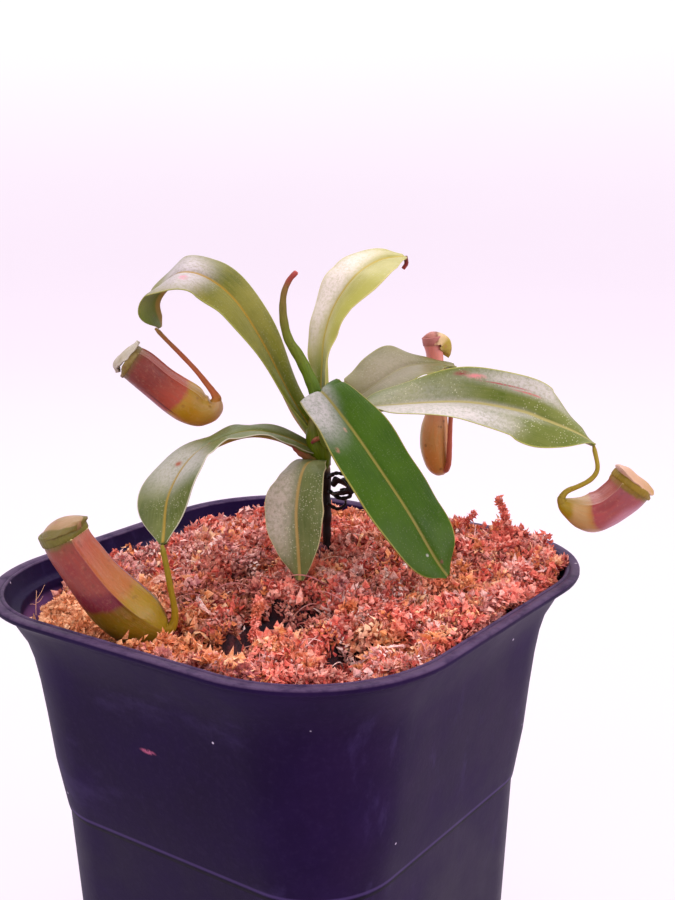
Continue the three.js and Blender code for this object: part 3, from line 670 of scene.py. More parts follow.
def finish(name, base, roughness, heights=None, bump=0.2, distance=0.0002, depth=1.0, glow=None, **sockets):
    """Completes a material: base and roughness come from nodes, the rest is set on the shader itself.

    depth darkens the base throughout, and glow colours its own light.
    """
    tree = base.id_data
    if depth != 1.0:
        base = blend(1.0, base, (depth, depth, depth, 1), "MULTIPLY")
    shader = tree.nodes.new("ShaderNodeBsdfPrincipled")
    fill_inputs(shader, {"Base Color": base, "Roughness": roughness})
    fill_inputs(shader, {label.replace("_", " "): value for label, value in sockets.items()})
    if glow is not None:
        fill_inputs(shader, {"Emission Color": glow})
    if heights is not None:
        relief = add(tree, "Bump", {"Height": heights, "Strength": bump, "Distance": distance})
        fill_inputs(shader, {"Normal": relief})
    output = tree.nodes.new("ShaderNodeOutputMaterial")
    fill_inputs(output, {0: shader.outputs[0]})
    return bpy.data.materials[name]


def blank(name):
    """A new material's empty node tree."""
    material = bpy.data.materials.new(name)
    material.use_nodes = True
    material.node_tree.nodes.clear()
    return material.node_tree


# Finishes


def backdrop_finish():
    """Pale card with a little light of its own, pinker low down."""
    where = object_places(blank("pale_sweep"))
    tone = noise(where, 2.0)
    base = ramp(tone, [(0.3, "#827c82"), (0.7, "#868086")])
    glow = blend(fade(parts_of(where)[2], 0.0, 0.5), (0.7, 0.6, 0.7, 1), (0.85, 0.83, 0.85, 1))
    return finish("pale_sweep", base, fade(tone, 0.0, 1.0, 0.85, 0.9), glow=glow, Emission_Strength=1.0)


def pot_finish():
    """Dark aubergine plastic, finely mottled, faintly scuffed and flecked with white dust. Its right side and
    its inside are painted paler as painted light, the step round its wall has a painted shadow line and
    highlight, and its rim's top has a patchy painted sheen.
    """
    tree = blank("pot_plastic")
    where = object_places(tree)
    right, _, height = parts_of(where)
    _, _, ring = surface_places(tree, "place")
    cloud = noise(where, 45.0, 5.0, 0.6)
    fine = noise(where, 900.0, 3.0, 0.7)
    base = ramp(cloud, [(0.3, "#120722"), (0.5, "#160a29"), (0.72, "#1d0f34")])
    base = tint(base, fade(fine, 0.45, 0.75, 0.0, 0.3), "#251a38")
    # Painted light: the pot's right side, towards +x, is painted paler in patches, as if more brightly lit.
    uneven = fade(noise(where, 120.0, 4.0, 0.6), 0.3, 0.7, 0.4, 1.0)
    base = tint(base, times(fade(right, 20 * MM, 45 * MM, 0.0, 0.3), uneven), "#2f1c3c")
    stretched = add(tree, "Mapping", {"Vector": where, "Rotation": (0.5, 0.3, 0.6), "Scale": (30, 160, 60)})
    base = tint(base, fade(noise(stretched, 1.0, 6.0, 0.65), 0.56, 0.74, 0.0, 0.14), "#54447a")
    base = tint(base, spots(where, 210.0, 0.07, 0.2), "#cfc0d8", 0.7)
    # Painted sheen: the whole inside of the pot, from below the rim down, is painted paler than its outside.
    base = tint(base, fade(ring, POT_INSIDE_START - 0.01, POT_INSIDE_START + 0.01, 0.0, 0.8), "#744c7c")
    # Painted shade and highlight: a painted shadow line at the step round the wall, and a painted highlight
    # just above it.
    base = tint(base, stripe(height, 49.3 * MM, 0.2 * MM, 0.7 * MM), "#07040d", 0.85)
    base = tint(base, stripe(height, 50.3 * MM, 0.1 * MM, 0.5 * MM), "#4a3968", 0.5)
    # Painted sheen: the top of the rim is painted paler in patches.
    rim_sheen_patches = fade(noise(where, 260.0, 4.0, 0.7), 0.3, 0.6, 0.3, 1.0)
    base = tint(base, times(fade(height, 94.6 * MM, 94.9 * MM, 0.0, 0.6), rim_sheen_patches), "#5e4a64")
    base = tint(base, times(spots(where, 160.0, 0.12, 0.3), fade(height, 92.5 * MM, 94 * MM)), "#f0e8ee")
    crumb = region(where, WALL_CRUMB, (2.4 * MM, 3 * MM, 0.7 * MM), 0.3)
    base = tint(base, times(crumb, fade(fine, 0.4, 0.55, 0.1, 1.0)), "#9a4c68")
    relief = plus(fine, times(cloud, 0.5))
    return finish("pot_plastic", base, fade(cloud, 0.3, 0.7, 0.42, 0.55), relief, 0.25, 0.0001, IOR=1.15,
                  Specular_Tint=(0.55, 0.32, 0.9, 1))


def moss_finish(name, shades):
    """Dried moss: the tone comes with each flake, and shifts to orange and to straw from place to place. Each
    leaf and strand is painted darker at its base as painted shade and paler at its tip as a painted
    highlight, and a pool of light is painted at the left front.
    """
    tree = blank(name)
    _, tone, reach = surface_places(tree, "place")
    where = object_places(tree)
    fine = noise(where, 1400.0, 3.0, 0.7)
    base = ramp(plus(tone, swing(fine, 1.1)), shades)
    base = tint(base, fade(noise(where, 85.0, 3.0, 0.6), 0.52, 0.66, 0.0, 0.45), "#e09a5c")
    base = tint(base, fade(noise(where, 140.0, 2.0, 0.5, 1.0), 0.6, 0.72, 0.0, 0.6), "#f4b8a8")
    # Painted shade at the base of each leaf, where they crowd, and a painted highlight towards its tip.
    base = tint(base, fade(reach, 0.0, 0.45, 0.5, 0.0), "#6a1c1c")
    base = tint(base, fade(reach, 0.5, 1.0, 0.0, 0.42), "#ffae94")
    # Painted light: a pool of light on the moss at the left front, where it lies in the shade of the rim and
    # a pitcher.
    base = tint(base, region(where, LIT_MOSS, (20 * MM, 22 * MM, 30 * MM), 0.4), "#ffc090", 0.8)
    return finish(name, base, fade(fine, 0.3, 0.7, 0.7, 0.9), fine, 0.8, 0.0005, Specular_IOR_Level=0.3)


def gap_shade_finish():
    """The inside of the moss, painted dark as the shade seen in its gaps."""
    tone = noise(object_places(blank("moss_gap_shade")), 420.0, 6.0, 0.7)
    base = ramp(tone, [(0.3, "#160818"), (0.5, "#35141f"), (0.68, "#6b2c2c"), (0.85, "#8c4438")])
    return finish("moss_gap_shade", base, fade(tone, 0.2, 0.8, 0.85, 0.95), tone, 0.9, 0.001)


def leaf_top(name, deep, light, sheen_tone, sheen_ovals=(), marks=(), washes=(), margin="#a5a352", midrib="#a88a35",
             scurf=0.5, depth=1.0):
    """A leaf's glossy upper face, with a golden midrib, a thin pale margin, silvery scurf and few specks.

    washes are soft ovals of another green and marks coloured blemishes. The other ovals are a painted sheen,
    a grey-white reflection painted in a tone of its own. All are placed by share across and along.
    """
    tree = blank(name)
    place, across, _ = surface_places(tree, "place")
    flat, from_rib, _ = surface_places(tree, "flat")
    where = object_places(tree)
    fine = noise(where, 1500.0, 3.0, 0.75)
    streak = streaks(flat, 26, 1.6)
    base = ramp(noise(where, 90.0, 4.0, 0.6), [(0.32, deep), (0.68, light)])
    base = tint(base, streak, light, 0.3)
    for centre, size, text in washes:
        base = tint(base, oval(place, centre, size, 0.2), text, 0.85)
    # Painted sheen: mottled ovals of grey-white reflection.
    for centre, size, amount in sheen_ovals:
        grain = fade(fine, 0.3, 0.62, 0.55 * amount, amount)
        base = tint(base, times(oval(place, centre, size, 0.25), grain), sheen_tone)
    patchy = fade(noise(where, 160.0, 2.0), 0.42, 0.62, 0.08, scurf)
    base = tint(base, times(spots(where, 2600.0, 0.4, 0.42), patchy), "#c9c6a8")
    base = tint(base, stripe(from_rib, 0.0, 0.012, 0.05), midrib, 0.85)
    base = tint(base, fade(stripe(across, 0.5, 0.478, 0.492), 0.0, 1.0, 0.8, 0.0), margin)
    for centre, size, text in marks:
        torn = fade(fine, 0.4, 0.54, 0.3, 1.0)
        base = tint(base, times(oval(place, centre, size, 0.1), torn), text)
    grit = spots(where, 340.0, 0.08, 0.06)
    base = tint(base, grit, "#dcd6c2")
    relief = plus(plus(times(streak, 0.5), times(fine, 0.6)), times(grit, 1.5))
    rough = fade(fine, 0.3, 0.7, 0.3, 0.42)
    return finish(name, base, rough, relief, 0.3, 0.00012, depth, Specular_IOR_Level=0.12)


def leaf_under(name, deep, light, midrib="#b08b45"):
    """A leaf's matt, paler underside with a raised tan midrib."""
    tree = blank(name)
    flat, from_rib, _ = surface_places(tree, "flat")
    where = object_places(tree)
    cloud = noise(where, 110.0, 4.0, 0.6)
    streak = streaks(flat, 30, 2)
    base = ramp(cloud, [(0.3, deep), (0.7, light)])
    base = tint(base, streak, light, 0.25)
    base = tint(base, spots(where, 900.0, 0.3, 0.3), "#7a5a2c", 0.4)
    base = tint(base, stripe(from_rib, 0.0, 0.05, 0.11), midrib, 0.8)
    relief = plus(streak, noise(where, 1300.0))
    rough = fade(cloud, 0.3, 0.7, 0.5, 0.62)
    return finish(name, base, rough, relief, 0.25, 0.0001, 0.85, Specular_IOR_Level=0.25)


def stalk_finish(name, stops, grain="#3a2a20", depth=0.75):
    """A stem or tendril, coloured along its length, with fine lines and dots."""
    tree = blank(name)
    _, _, along = surface_places(tree, "place")
    flat, _, _ = surface_places(tree, "flat")
    where = object_places(tree)
    fine = noise(where, 1600.0)
    streak = streaks(flat, 60, 5)
    base = ramp(plus(along, swing(noise(where, 300.0), 0.2)), stops)
    base = tint(base, streak, grain, 0.35, "SOFT_LIGHT")
    base = tint(base, spots(where, 1300.0, 0.3, 0.25), grain, 0.35)
    rough = fade(fine, 0.3, 0.7, 0.38, 0.52)
    return finish(name, base, rough, plus(streak, fine), 0.3, 0.0001, depth, Specular_IOR_Level=0.2)


def pitcher_finish(name, stops, face, speck, slant=0.06, turn=0.0, bands=(), face_amount=0.8, depth=0.6,
                   dotted=0.25):
    """A pitcher's skin: colours follow one another from base to mouth with a slanting, ragged change.

    face is the colour of the flat front, as stops too. bands are coloured ovals by share around and along.
    """
    tree = blank(name)
    place, around, along = surface_places(tree, "place")
    flat, _, _ = surface_places(tree, "flat")
    where = object_places(tree)
    angle = times(plus(around, turn), 2 * math.pi)
    tilt = times(calculate("SINE", angle), fade(along, 0.7, 0.88, slant, 0.0))
    ragged = swing(noise(where, 220.0, 4.0), 0.1)
    base = ramp(plus(plus(along, tilt), ragged), stops)
    front = fade(stripe(around, 0.5, 0.412, 0.422), 0.0, 1.0, face_amount, 0.0)
    base = blend(front, base, ramp(plus(along, ragged), face))
    for centre, size, text, amount in bands:
        base = tint(base, oval(place, centre, size, 0.35), text, amount)
    streak = streaks(flat, 22, 3)
    base = tint(base, streak, "#e8a070", 0.25, "SOFT_LIGHT")
    base = tint(base, spots(where, 700.0, 0.32, 0.35), speck, dotted)
    fine = noise(where, 1300.0, 4.0, 0.7)
    base = tint(base, fade(fine, 0.5, 0.75, 0.0, 0.14), "#e6b48c")
    relief = plus(times(streak, 0.7), fine)
    return finish(name, base, fade(fine, 0.3, 0.7, 0.3, 0.45), relief, 0.3, 0.00015, depth,
                  Specular_IOR_Level=0.25, Coat_Weight=0.08, Coat_Roughness=0.3)


def inner_finish():
    """The pale, waxy inside of a pitcher, spotted with red."""
    tree = blank("pitcher_inside")
    where = object_places(tree)
    _, _, along = surface_places(tree, "place")
    base = ramp(along, [(0.2, "#6b6a2a"), (0.7, "#a9a45a"), (1.0, "#b9a868")])
    base = tint(base, spots(where, 420.0, 0.42, 0.4), "#7c2f2a", 0.7)
    fine = noise(where, 1200.0)
    return finish("pitcher_inside", base, fade(fine, 0.3, 0.7, 0.35, 0.5), fine, 0.2, 0.0001)


def lid_finish(name, dark, pale, spot, depth=0.7, stops=None, edge_tone=None, edge_half=0.42):
    """A lid: pale and waxy, veined, with pink freckles. stops colour it from its hinge to its end."""
    tree = blank(name)
    _, across, along = surface_places(tree, "place")
    where = object_places(tree)
    cloud = noise(where, 260.0, 4.0, 0.65)
    base = ramp(cloud, [(0.3, dark), (0.7, pale)])
    if stops:
        base = blend(0.85, base, ramp(plus(along, swing(cloud, 0.12)), stops))
    base = tint(base, spots(where, 650.0, 0.4, 0.35), spot, 0.4)
    edge = stripe(across, 0.5, edge_half, edge_half + 0.08)
    base = tint(base, fade(edge, 0.0, 1.0, 0.85 if edge_tone else 0.45, 0.0), edge_tone or pale)
    fine = noise(where, 1500.0)
    rough = fade(fine, 0.3, 0.7, 0.4, 0.55)
    return finish(name, base, rough, plus(fine, cloud), 0.4, 0.0002, depth, Specular_IOR_Level=0.25)


# Pot


def rounded_square(half, arc_steps, straight_steps):
    """Outline of a square with round corners, as x and y, corner by corner."""
    radius = half - CORNER_CENTRE
    points = []
    for side in range(4):
        c, s = round(math.cos(side * math.pi / 2)), round(math.sin(side * math.pi / 2))
        corner = [
            (CORNER_CENTRE + radius * math.cos(k * math.pi / 2 / arc_steps),
             CORNER_CENTRE + radius * math.sin(k * math.pi / 2 / arc_steps))
            for k in range(arc_steps + 1)
        ]
        straight = [(CORNER_CENTRE * (1 - 2 * k / straight_steps), half) for k in range(1, straight_steps)]
        points += [(c * x - s * y, s * x + c * y) for x, y in corner + straight]
    return np.array(points)


def level_ring(half, height, arc_steps, straight_steps):
    """A rounded square at a height."""
    outline = rounded_square(half, arc_steps, straight_steps)
    return np.column_stack([outline, np.full(len(outline), height)])


def half_width(profile, height):
    """Half width of a profile at a height."""
    heights, widths = zip(*profile)
    return float(np.interp(height, heights, widths))


def inside_half(height):
    """Half width of the pot's inside at a height."""
    if height < THROAT[0][0]:
        return half_width(OUTSIDE, height) - WALL
    return half_width(THROAT, height)


def make_pot():
    """The shell, from its base up the outside, over the rim and down the inside, with its drain holes."""
    inside = [(z, half_width(OUTSIDE, z) - WALL) for z in INSIDE_HEIGHTS]
    foot = inside[-1][1]
    profile = OUTSIDE + RIM + inside + [(2, foot - 0.3), (FLOOR_HEIGHT, foot - 1.2)]
    rings = np.array([level_ring(half, z, *POT_SIDES) for z, half in profile])
    skin = Skin()
    skin.grid(rings, ring_chart(rings), ends=(True, True))
    pot = skin.piece("plastic_pot", [pot_finish()], "pot", ["pot"])
    drains = bmesh.new()
    radius = DRAIN_RADIUS * MM
    drill = dict(cap_ends=True, segments=32, radius1=radius, radius2=radius, depth=10 * MM)
    for x in (-DRAIN_OFFSET, DRAIN_OFFSET):
        for y in (-DRAIN_OFFSET, DRAIN_OFFSET):
            bmesh.ops.create_cone(drains, matrix=Matrix.Translation((x * MM, y * MM, 0)), **drill)
    cutter = bpy.data.objects.new("drain_cutter", bpy.data.meshes.new("drain_cutter"))
    drains.to_mesh(cutter.data)
    drains.free()
    bpy.context.scene.collection.objects.link(cutter)
    cut = pot.modifiers.new("drains", "BOOLEAN")
    cut.object = cutter
    cut.solver = "EXACT"
    drilled = bpy.data.meshes.new_from_object(pot.evaluated_get(bpy.context.evaluated_depsgraph_get()))
    pot.modifiers.clear()
    pot.data = drilled
    bpy.data.objects.remove(cutter)


# Moss

MOSS_HALF = 42  # half width of the bed's outline before it is fitted to the wall
MOSS_GAP = 0.6  # from the bed to the wall
BED_SIDES = (32, 32)  # steps round a corner and along a side
BED_FOOT = 2.3
BED_HEIGHTS = (25, 49, 60, 77, 85)
BED_RINGS = 66  # from the edge of the top to its middle
SPIRAL_TURN = 2.4  # from one moss leaf to the next round its sprig
LUMP_HEIGHT = 2.6
CRUMPLE = 0.24  # how unevenly a flake rises and falls


def rumple(x, y, seed):
    """Repeatable soft bumps between -1 and 1."""
    random = np.random.default_rng(seed)
    total = np.zeros_like(x)
    for _ in range(9):
        turn = random.uniform(0, 2 * math.pi)
        pitch = random.uniform(0.5, 1.7)
        start = random.uniform(0, 2 * math.pi)
        total += np.sin(pitch * (x * math.cos(turn) + y * math.sin(turn)) + start)
    return total / 5


def moss_height(x, y):
    """Height of the moss over the pot's base, with its hollows."""
    height = MOSS_LEVEL + 0.03 * x + 0.02 * y
    height = height + 0.5 * np.sin(0.55 * x + 0.3 * y) + 0.4 * np.sin(0.62 * y - 0.35 * x + 1)
    for at_x, at_y, rise, spread in MOSS_SWELLS:
        height = height + rise * np.exp(-((x - at_x) ** 2 + (y - at_y) ** 2) / (2 * spread**2))
    for hollow_x, hollow_y, depth, spread in HOLLOWS:
        at_x, at_y, _ = to_pot((hollow_x, hollow_y, 0))
        height = height - depth * np.exp(-((x - at_x) ** 2 + (y - at_y) ** 2) / (2 * spread**2))
    return height + RIM_HEIGHT


def past_corner(x, y):
    """How far a point lies outside the square of the corners' centres."""
    return np.hypot(np.maximum(np.abs(x) - CORNER_CENTRE, 0), np.maximum(np.abs(y) - CORNER_CENTRE, 0))


def make_moss_bed():
    """The body of the moss: lumpy on top, and down to the pot's floor along its wall."""
    x, y = rounded_square(MOSS_HALF, *BED_SIDES).T
    z = moss_height(x, y)
    beside = np.array([inside_half(min(h, LEDGE_HEIGHT - 0.1)) - MOSS_GAP for h in z]) / MOSS_HALF
    edge = np.column_stack([x * beside, y * beside, z])
    rings = [level_ring(inside_half(3) - 3, BED_FOOT, *BED_SIDES)]
    rings += [level_ring(inside_half(height) - MOSS_GAP, height, *BED_SIDES) for height in BED_HEIGHTS]
    rings.append(edge)
    for part in np.linspace(0.985, 0.02, BED_RINGS):
        px, py = edge[:, 0] * part, edge[:, 1] * part
        lumps = 0.8 * LUMP_HEIGHT * rumple(px, py, LUMPS) + 0.35 * rumple(2.3 * px, 2.3 * py, 2) - 1.8
        rings.append(np.column_stack([px, py, moss_height(px, py) + lumps * smooth_step(1 - part, 0, 0.05)]))
    rings = np.array(rings)
    skin = Skin()
    skin.grid(rings, ring_chart(rings), ends=(True, True))
    skin.piece("moss_core", [gap_shade_finish()], "moss", ["moss_bed"])


def keep_inside(points):
    """Draws points that lie in the pot's wall back to its inner face."""
    x, y, z = points.T
    over_x, over_y = np.maximum(np.abs(x) - CORNER_CENTRE, 0), np.maximum(np.abs(y) - CORNER_CENTRE, 0)
    past = np.hypot(over_x, over_y)
    heights, widths = zip((80, inside_half(80)), *THROAT)
    wall = np.interp(z, heights, widths) - CORNER_CENTRE - 0.15
    part = np.where(past > wall, wall / np.maximum(past, 1e-6), 1)
    inner_x = np.sign(x) * (np.abs(x) - over_x * (1 - part))
    inner_y = np.sign(y) * (np.abs(y) - over_y * (1 - part))
    return np.column_stack([inner_x, inner_y, z])


def scales(skin, random, base, along, outward, length, width, tone, curl):
    """Pointed, keeled moss leaves, four faces each, from arrays of bases, directions and sizes."""
    along = unit(along)
    side = unit(np.cross(along, outward) + 1e-6)
    upright = np.cross(side, along)
    count = len(base)
    length, width = length[:, None], width[:, None]
    broad = base + along * length * 0.42
    points = np.stack([
        base,
        broad - side * width / 2,
        base + along * length + upright * length * curl,
        broad + side * width / 2,
        broad + upright * width * random.uniform(-0.1, 0.5, (count, 1)),
    ], 1)
    points = points + random.normal(0, 0.075, points.shape) * length[:, None]
    first = skin.count + 5 * np.arange(count)[:, None]
    skin.points.append(keep_inside(points.reshape(-1, 3)))
    skin.count += 5 * count
    corners = np.array([[0, 1, 4], [1, 2, 4], [2, 3, 4], [3, 0, 4]])
    shares = np.array([0, 0.5, 1, 0.5, 0.5])[corners].ravel()
    charted = np.stack(np.broadcast_arrays(tone[:, None], shares[None]), -1).reshape(-1, 2).tolist()
    skin.faces += (first[:, :, None] + corners[None]).reshape(-1, 3).tolist()
    skin.place += charted
    skin.flat += charted
    skin.looks += [0] * (4 * count)


def clothe(skin, random, path, tone, size, spread, every, core, leaf_sizes):
    """Covers a path with moss leaves, one in every stretch of it, which spread out from round a core."""
    reach = lengths(path)
    count = max(7, int(reach[-1] / every))
    starts = np.linspace(0, reach[-1], count)
    behind, base, ahead = (
        np.column_stack([np.interp(starts + shift, reach, path[:, k]) for k in range(3)])
        for shift in (-0.4, 0, 0.4)
    )
    along = unit(ahead - behind + 1e-6)
    angle = np.arange(count) * SPIRAL_TURN + random.uniform(0, 6.3)
    side = unit(np.cross(along, [0.1, 0.2, 1.0]))
    upright = np.cross(side, along)
    outward = side * np.cos(angle)[:, None] + upright * np.sin(angle)[:, None]
    taper = 1 - 0.35 * starts / reach[-1]
    base = base + outward * (core * size * taper * random.uniform(0.4, 1.2, count))[:, None]
    lean = along * 0.7 + outward * spread * random.uniform(0.3, 1.2, (count, 1))
    lean = lean + random.normal(0, 0.25, (count, 3))
    length = size * random.uniform(*leaf_sizes, count) * taper
    width = length * random.uniform(0.55, 0.95, count)
    # Painted light: leaves that face up are painted paler, those that face down darker.
    tones = np.clip(tone + 0.12 * outward[:, 2] + random.normal(0, 0.09, count), 0, 1)
    scales(skin, random, base, lean, outward, length, width, tones, random.uniform(-0.3, 0.6, (count, 1)))


def rosette(skin, random, centre, facing, tone, size):
    """The tufted head of a sprig: leaves spread out in a spiral."""
    count = 60
    turn = SPIRAL_TURN * np.arange(count)
    polar = 1.8 * np.sqrt((np.arange(count) + 0.5) / count)[:, None]
    facing = unit(facing)
    side = unit(np.cross(facing, [0.3, 0.1, 0.2]))
    radial = np.cos(turn)[:, None] * side + np.sin(turn)[:, None] * np.cross(facing, side)
    along = np.cos(polar) * facing + np.sin(polar) * radial + random.normal(0, 0.14, (count, 3))
    inward = np.sin(polar) * facing - np.cos(polar) * radial
    length = size * random.uniform(1.2, 2.2, count)
    # Painted light: the leaves in the middle of the head, which face up, are painted paler.
    tones = np.clip(tone + 0.12 * (polar[:, 0] < 0.7) + random.normal(0, 0.09, count), 0, 1)
    scales(skin, random, centre + 0.2 * along, along, inward, length, 0.65 * length, tones, 0.25)


def ribbon(skin, random, path, half, tone):
    """A torn, cupped and crumpled strip along a path, with a half width at each of its points."""
    along = unit(np.gradient(path, axis=0))
    side = unit(np.cross(along, [0, 0, 1.0]) + random.normal(0, 0.4, 3))
    upright = np.cross(side, along)
    share = np.linspace(-1, 1, 5)
    ragged = half[:, None] * random.uniform(0.45, 1.35, (len(path), 5))
    cup = random.normal(0.1, 0.45) * half.mean() * share[None, :] ** 2
    rise = cup + random.normal(0, CRUMPLE, (len(path), 5))
    points = path[:, None] + (share * ragged)[..., None] * side[:, None] + rise[..., None] * upright[:, None]
    points = keep_inside(points.reshape(-1, 3)).reshape(points.shape)
    tones = np.clip(tone + random.normal(0, 0.06), 0, 1)
    skin.grid(points, chart(np.full(5, tones), np.linspace(0, 0.8, len(path))), closed=False)


def clear_of_plant(x, y, margin):
    """Whether a place is clear of the stem and of the pitcher that lies in the moss."""
    taken = [(DEAD_STEM[0], 2.0)] + [(row, row[3] + 0.3) for row in PITCHERS["2"][1][:7]]
    for row, radius in taken:
        at_x, at_y, _ = to_pot(row[:3])
        if math.hypot(x - at_x, y - at_y) < radius + margin:
            return False
    return True


MOSS_SHADES = {
    "coral": [(0.0, "#4a0c12"), (0.25, "#a83434"), (0.5, "#de5f50"), (0.75, "#f08876"), (1.0, "#fbbcae")],
    "orange": [(0.0, "#5a1a10"), (0.25, "#b95430"), (0.5, "#e6864e"), (0.75, "#f2aa78"), (1.0, "#fbd2ac")],
    "pink": [(0.0, "#4c1828"), (0.25, "#a8565c"), (0.5, "#d28684"), (0.75, "#eab0a8"), (1.0, "#fae0d8")],
    "brown": [(0.0, "#2a0c1a"), (0.25, "#742a34"), (0.5, "#b05450"), (0.75, "#d48474"), (1.0, "#ecb6a8")],
}
SPRIG_COUNT = 1800
SPRIG_STEPS = np.linspace(0, 1, 8)
ROPE_COUNT = 120
ROSETTE_COUNT = 170
FLAKE_COUNT = 650
FIBRE_COUNT = 200
FACE_LIMIT = 185000  # of one family's sprigs


def moss_family(random, x, y, skins):
    """A family of tone: coral mostly, orange at the left front, pink behind it, and brown, with more of it by
    the stem as painted shade under the leaves.
    """
    turned_x = x * math.cos(PLANT_TURN) + y * math.sin(PLANT_TURN)
    turned_y = y * math.cos(PLANT_TURN) - x * math.sin(PLANT_TURN)
    left = float(smooth_step(-turned_x, 0, 22))
    back = float(smooth_step(turned_y, -4, 16))
    # Painted shade: more of the dark brown family round the stem, under the leaves.
    shade = math.exp(-((turned_x + 9) ** 2 + (turned_y - 2) ** 2) / 180)
    weights = {
        "coral": 1.0 - 0.65 * left,
        "orange": 0.22 + 0.9 * left * (1 - back),
        "pink": 0.18 + 1.3 * left * back,
        "brown": 0.15 + 1.1 * shade,
    }
    for name, skin in skins.items():
        if len(skin.faces) > FACE_LIMIT:
            weights[name] = 0.0
    total = sum(weights.values())
    return random.choice(list(weights), p=[value / total for value in weights.values()])


def moss_place(random):
    """A random place on the moss, at times along its edge."""
    x, y = random.uniform(-45, 45, 2)
    if random.uniform() < 0.2:
        reach = max(abs(x), abs(y))
        x, y = x * 43.5 / reach, y * 43.5 / reach
    return x, y


def fits_pot(x, y, margin=0.4):
    """Whether all of a path lies inside the pot's wall."""
    wall = np.array([inside_half(height) for height in moss_height(x, y)]) - CORNER_CENTRE
    return np.all(past_corner(x, y) < wall - margin)


def in_hollow(x, y):
    """How deep a place lies in the moss's dark hollows."""
    depth = 0.0
    for hollow_x, hollow_y, full, spread in HOLLOWS:
        at_x, at_y, _ = to_pot((hollow_x, hollow_y, 0))
        depth += full * math.exp(-((x - at_x) ** 2 + (y - at_y) ** 2) / (2 * spread**2))
    return depth


def wandering(random, x, y, length, steps):
    """A level path that bends at random from a place."""
    heading, bend = random.uniform(0, 2 * math.pi), random.normal(0, 0.8)
    turn = heading + bend * steps
    step = length / (len(steps) - 1)
    px = x + np.concatenate([[0], np.cumsum(np.cos(turn[1:]))]) * step
    py = y + np.concatenate([[0], np.cumsum(np.sin(turn[1:]))]) * step
    return px, py


def on_moss(px, py, lift):
    """A path at a height over the moss's level."""
    return np.column_stack([px, py, moss_height(px, py) + lift])


def lay(count, random, skins, attempt):
    """Repeats an attempt to lay a piece at a random place, until enough of them have fitted."""
    made = 0
    while made < count:
        made += attempt(random, skins, *moss_place(random))


def lay_sprig(random, skins, x, y):
    """A sprig half sunk among the others, seldom in a hollow or low between the lumps."""
    length, rise = random.uniform(4, 11), random.uniform(-0.05, 0.3)
    px, py = wandering(random, x, y, length, SPRIG_STEPS)
    if not fits_pot(px, py) or not clear_of_plant(px[3], py[3], 0.8):
        return False
    if in_hollow(px[4], py[4]) > 1.2 and random.uniform() < 0.95:
        return False
    lumps = rumple(px, py, LUMPS)
    if lumps[4] < -0.6 and random.uniform() < 0.8:
        return False
    layer = random.uniform(-0.9, 0.8)
    lift = -0.3 + layer + LUMP_HEIGHT * lumps + rise * length * SPRIG_STEPS * (1.25 - SPRIG_STEPS)
    # Painted light and shade: sprigs high on the lumps and in the upper layer are painted paler, low ones
    # darker.
    tone = 0.5 + 0.2 * float(lumps[4]) + 0.12 * layer + random.normal(0, 0.12)
    skin = skins[moss_family(random, x, y, skins)]
    clothe(skin, random, on_moss(px, py, lift), tone, random.uniform(0.85, 1.6), 0.8, 0.18, 0.6, (0.85, 1.75))
    return True


def lay_rope(random, skins, x, y):
    """A long sprig, closely leaved, that lies on the others."""
    px, py = wandering(random, x, y, random.uniform(6, 14), SPRIG_STEPS)
    if not fits_pot(px, py, 1) or not clear_of_plant(px[3], py[3], 2.5) or in_hollow(px[4], py[4]) > 2.5:
        return False
    lift = 0.9 + LUMP_HEIGHT * rumple(px, py, LUMPS) * 0.7
    skin = skins[moss_family(random, x, y, skins)]
    tone = random.normal(0.7, 0.1)
    clothe(skin, random, on_moss(px, py, lift), tone, random.uniform(1.0, 1.7), 0.5, 0.09, 0.8, (0.6, 1.15))
    return True


def lay_rosette(random, skins, x, y):
    """A tufted head that faces up."""
    spot = np.array([x]), np.array([y])
    if not fits_pot(*spot) or not clear_of_plant(x, y, 2) or in_hollow(x, y) > 1.5:
        return False
    lumps = float(rumple(*spot, LUMPS)[0])
    centre = np.array([x, y, float(moss_height(*spot)[0]) - 0.1 + LUMP_HEIGHT * lumps])
    facing = random.normal(0, 0.45, 3) + np.array([0, 0, 1.0])
    skin = skins[moss_family(random, x, y, skins)]
    # Painted light and shade: heads high on the lumps are painted paler, low ones darker.
    tone = 0.55 + 0.15 * lumps + random.normal(0, 0.1)
    rosette(skin, random, centre, facing, tone, random.uniform(0.8, 1.3))
    return True


def lay_flake(random, skins, x, y):
    """A broad, torn, curled flake, clear of the hollows."""
    steps = np.linspace(0, 1, 7)
    length = random.uniform(2.2, 6.5)
    px, py = wandering(random, x, y, length, steps)
    if not fits_pot(px, py, 1) or not clear_of_plant(px[3], py[3], 1.6):
        return False
    if max(in_hollow(px[k], py[k]) for k in (0, 3, 6)) > 0.9:
        return False
    arch, tip = random.uniform(0, 0.2) * length, random.normal(0, 0.1) * length
    lift = 0.2 + LUMP_HEIGHT * rumple(px, py, LUMPS) + arch * 4 * steps * (1 - steps) + tip * steps
    half = random.uniform(0.35, 0.85) * np.sqrt(np.maximum(1 - 0.85 * (2 * steps - 1) ** 2, 0.1))
    family = moss_family(random, x, y, {})
    skin = skins["coral" if family == "brown" else family]
    ribbon(skin, random, on_moss(px, py, lift), half, float(np.clip(random.normal(0.62, 0.2), 0, 1)))
    return True


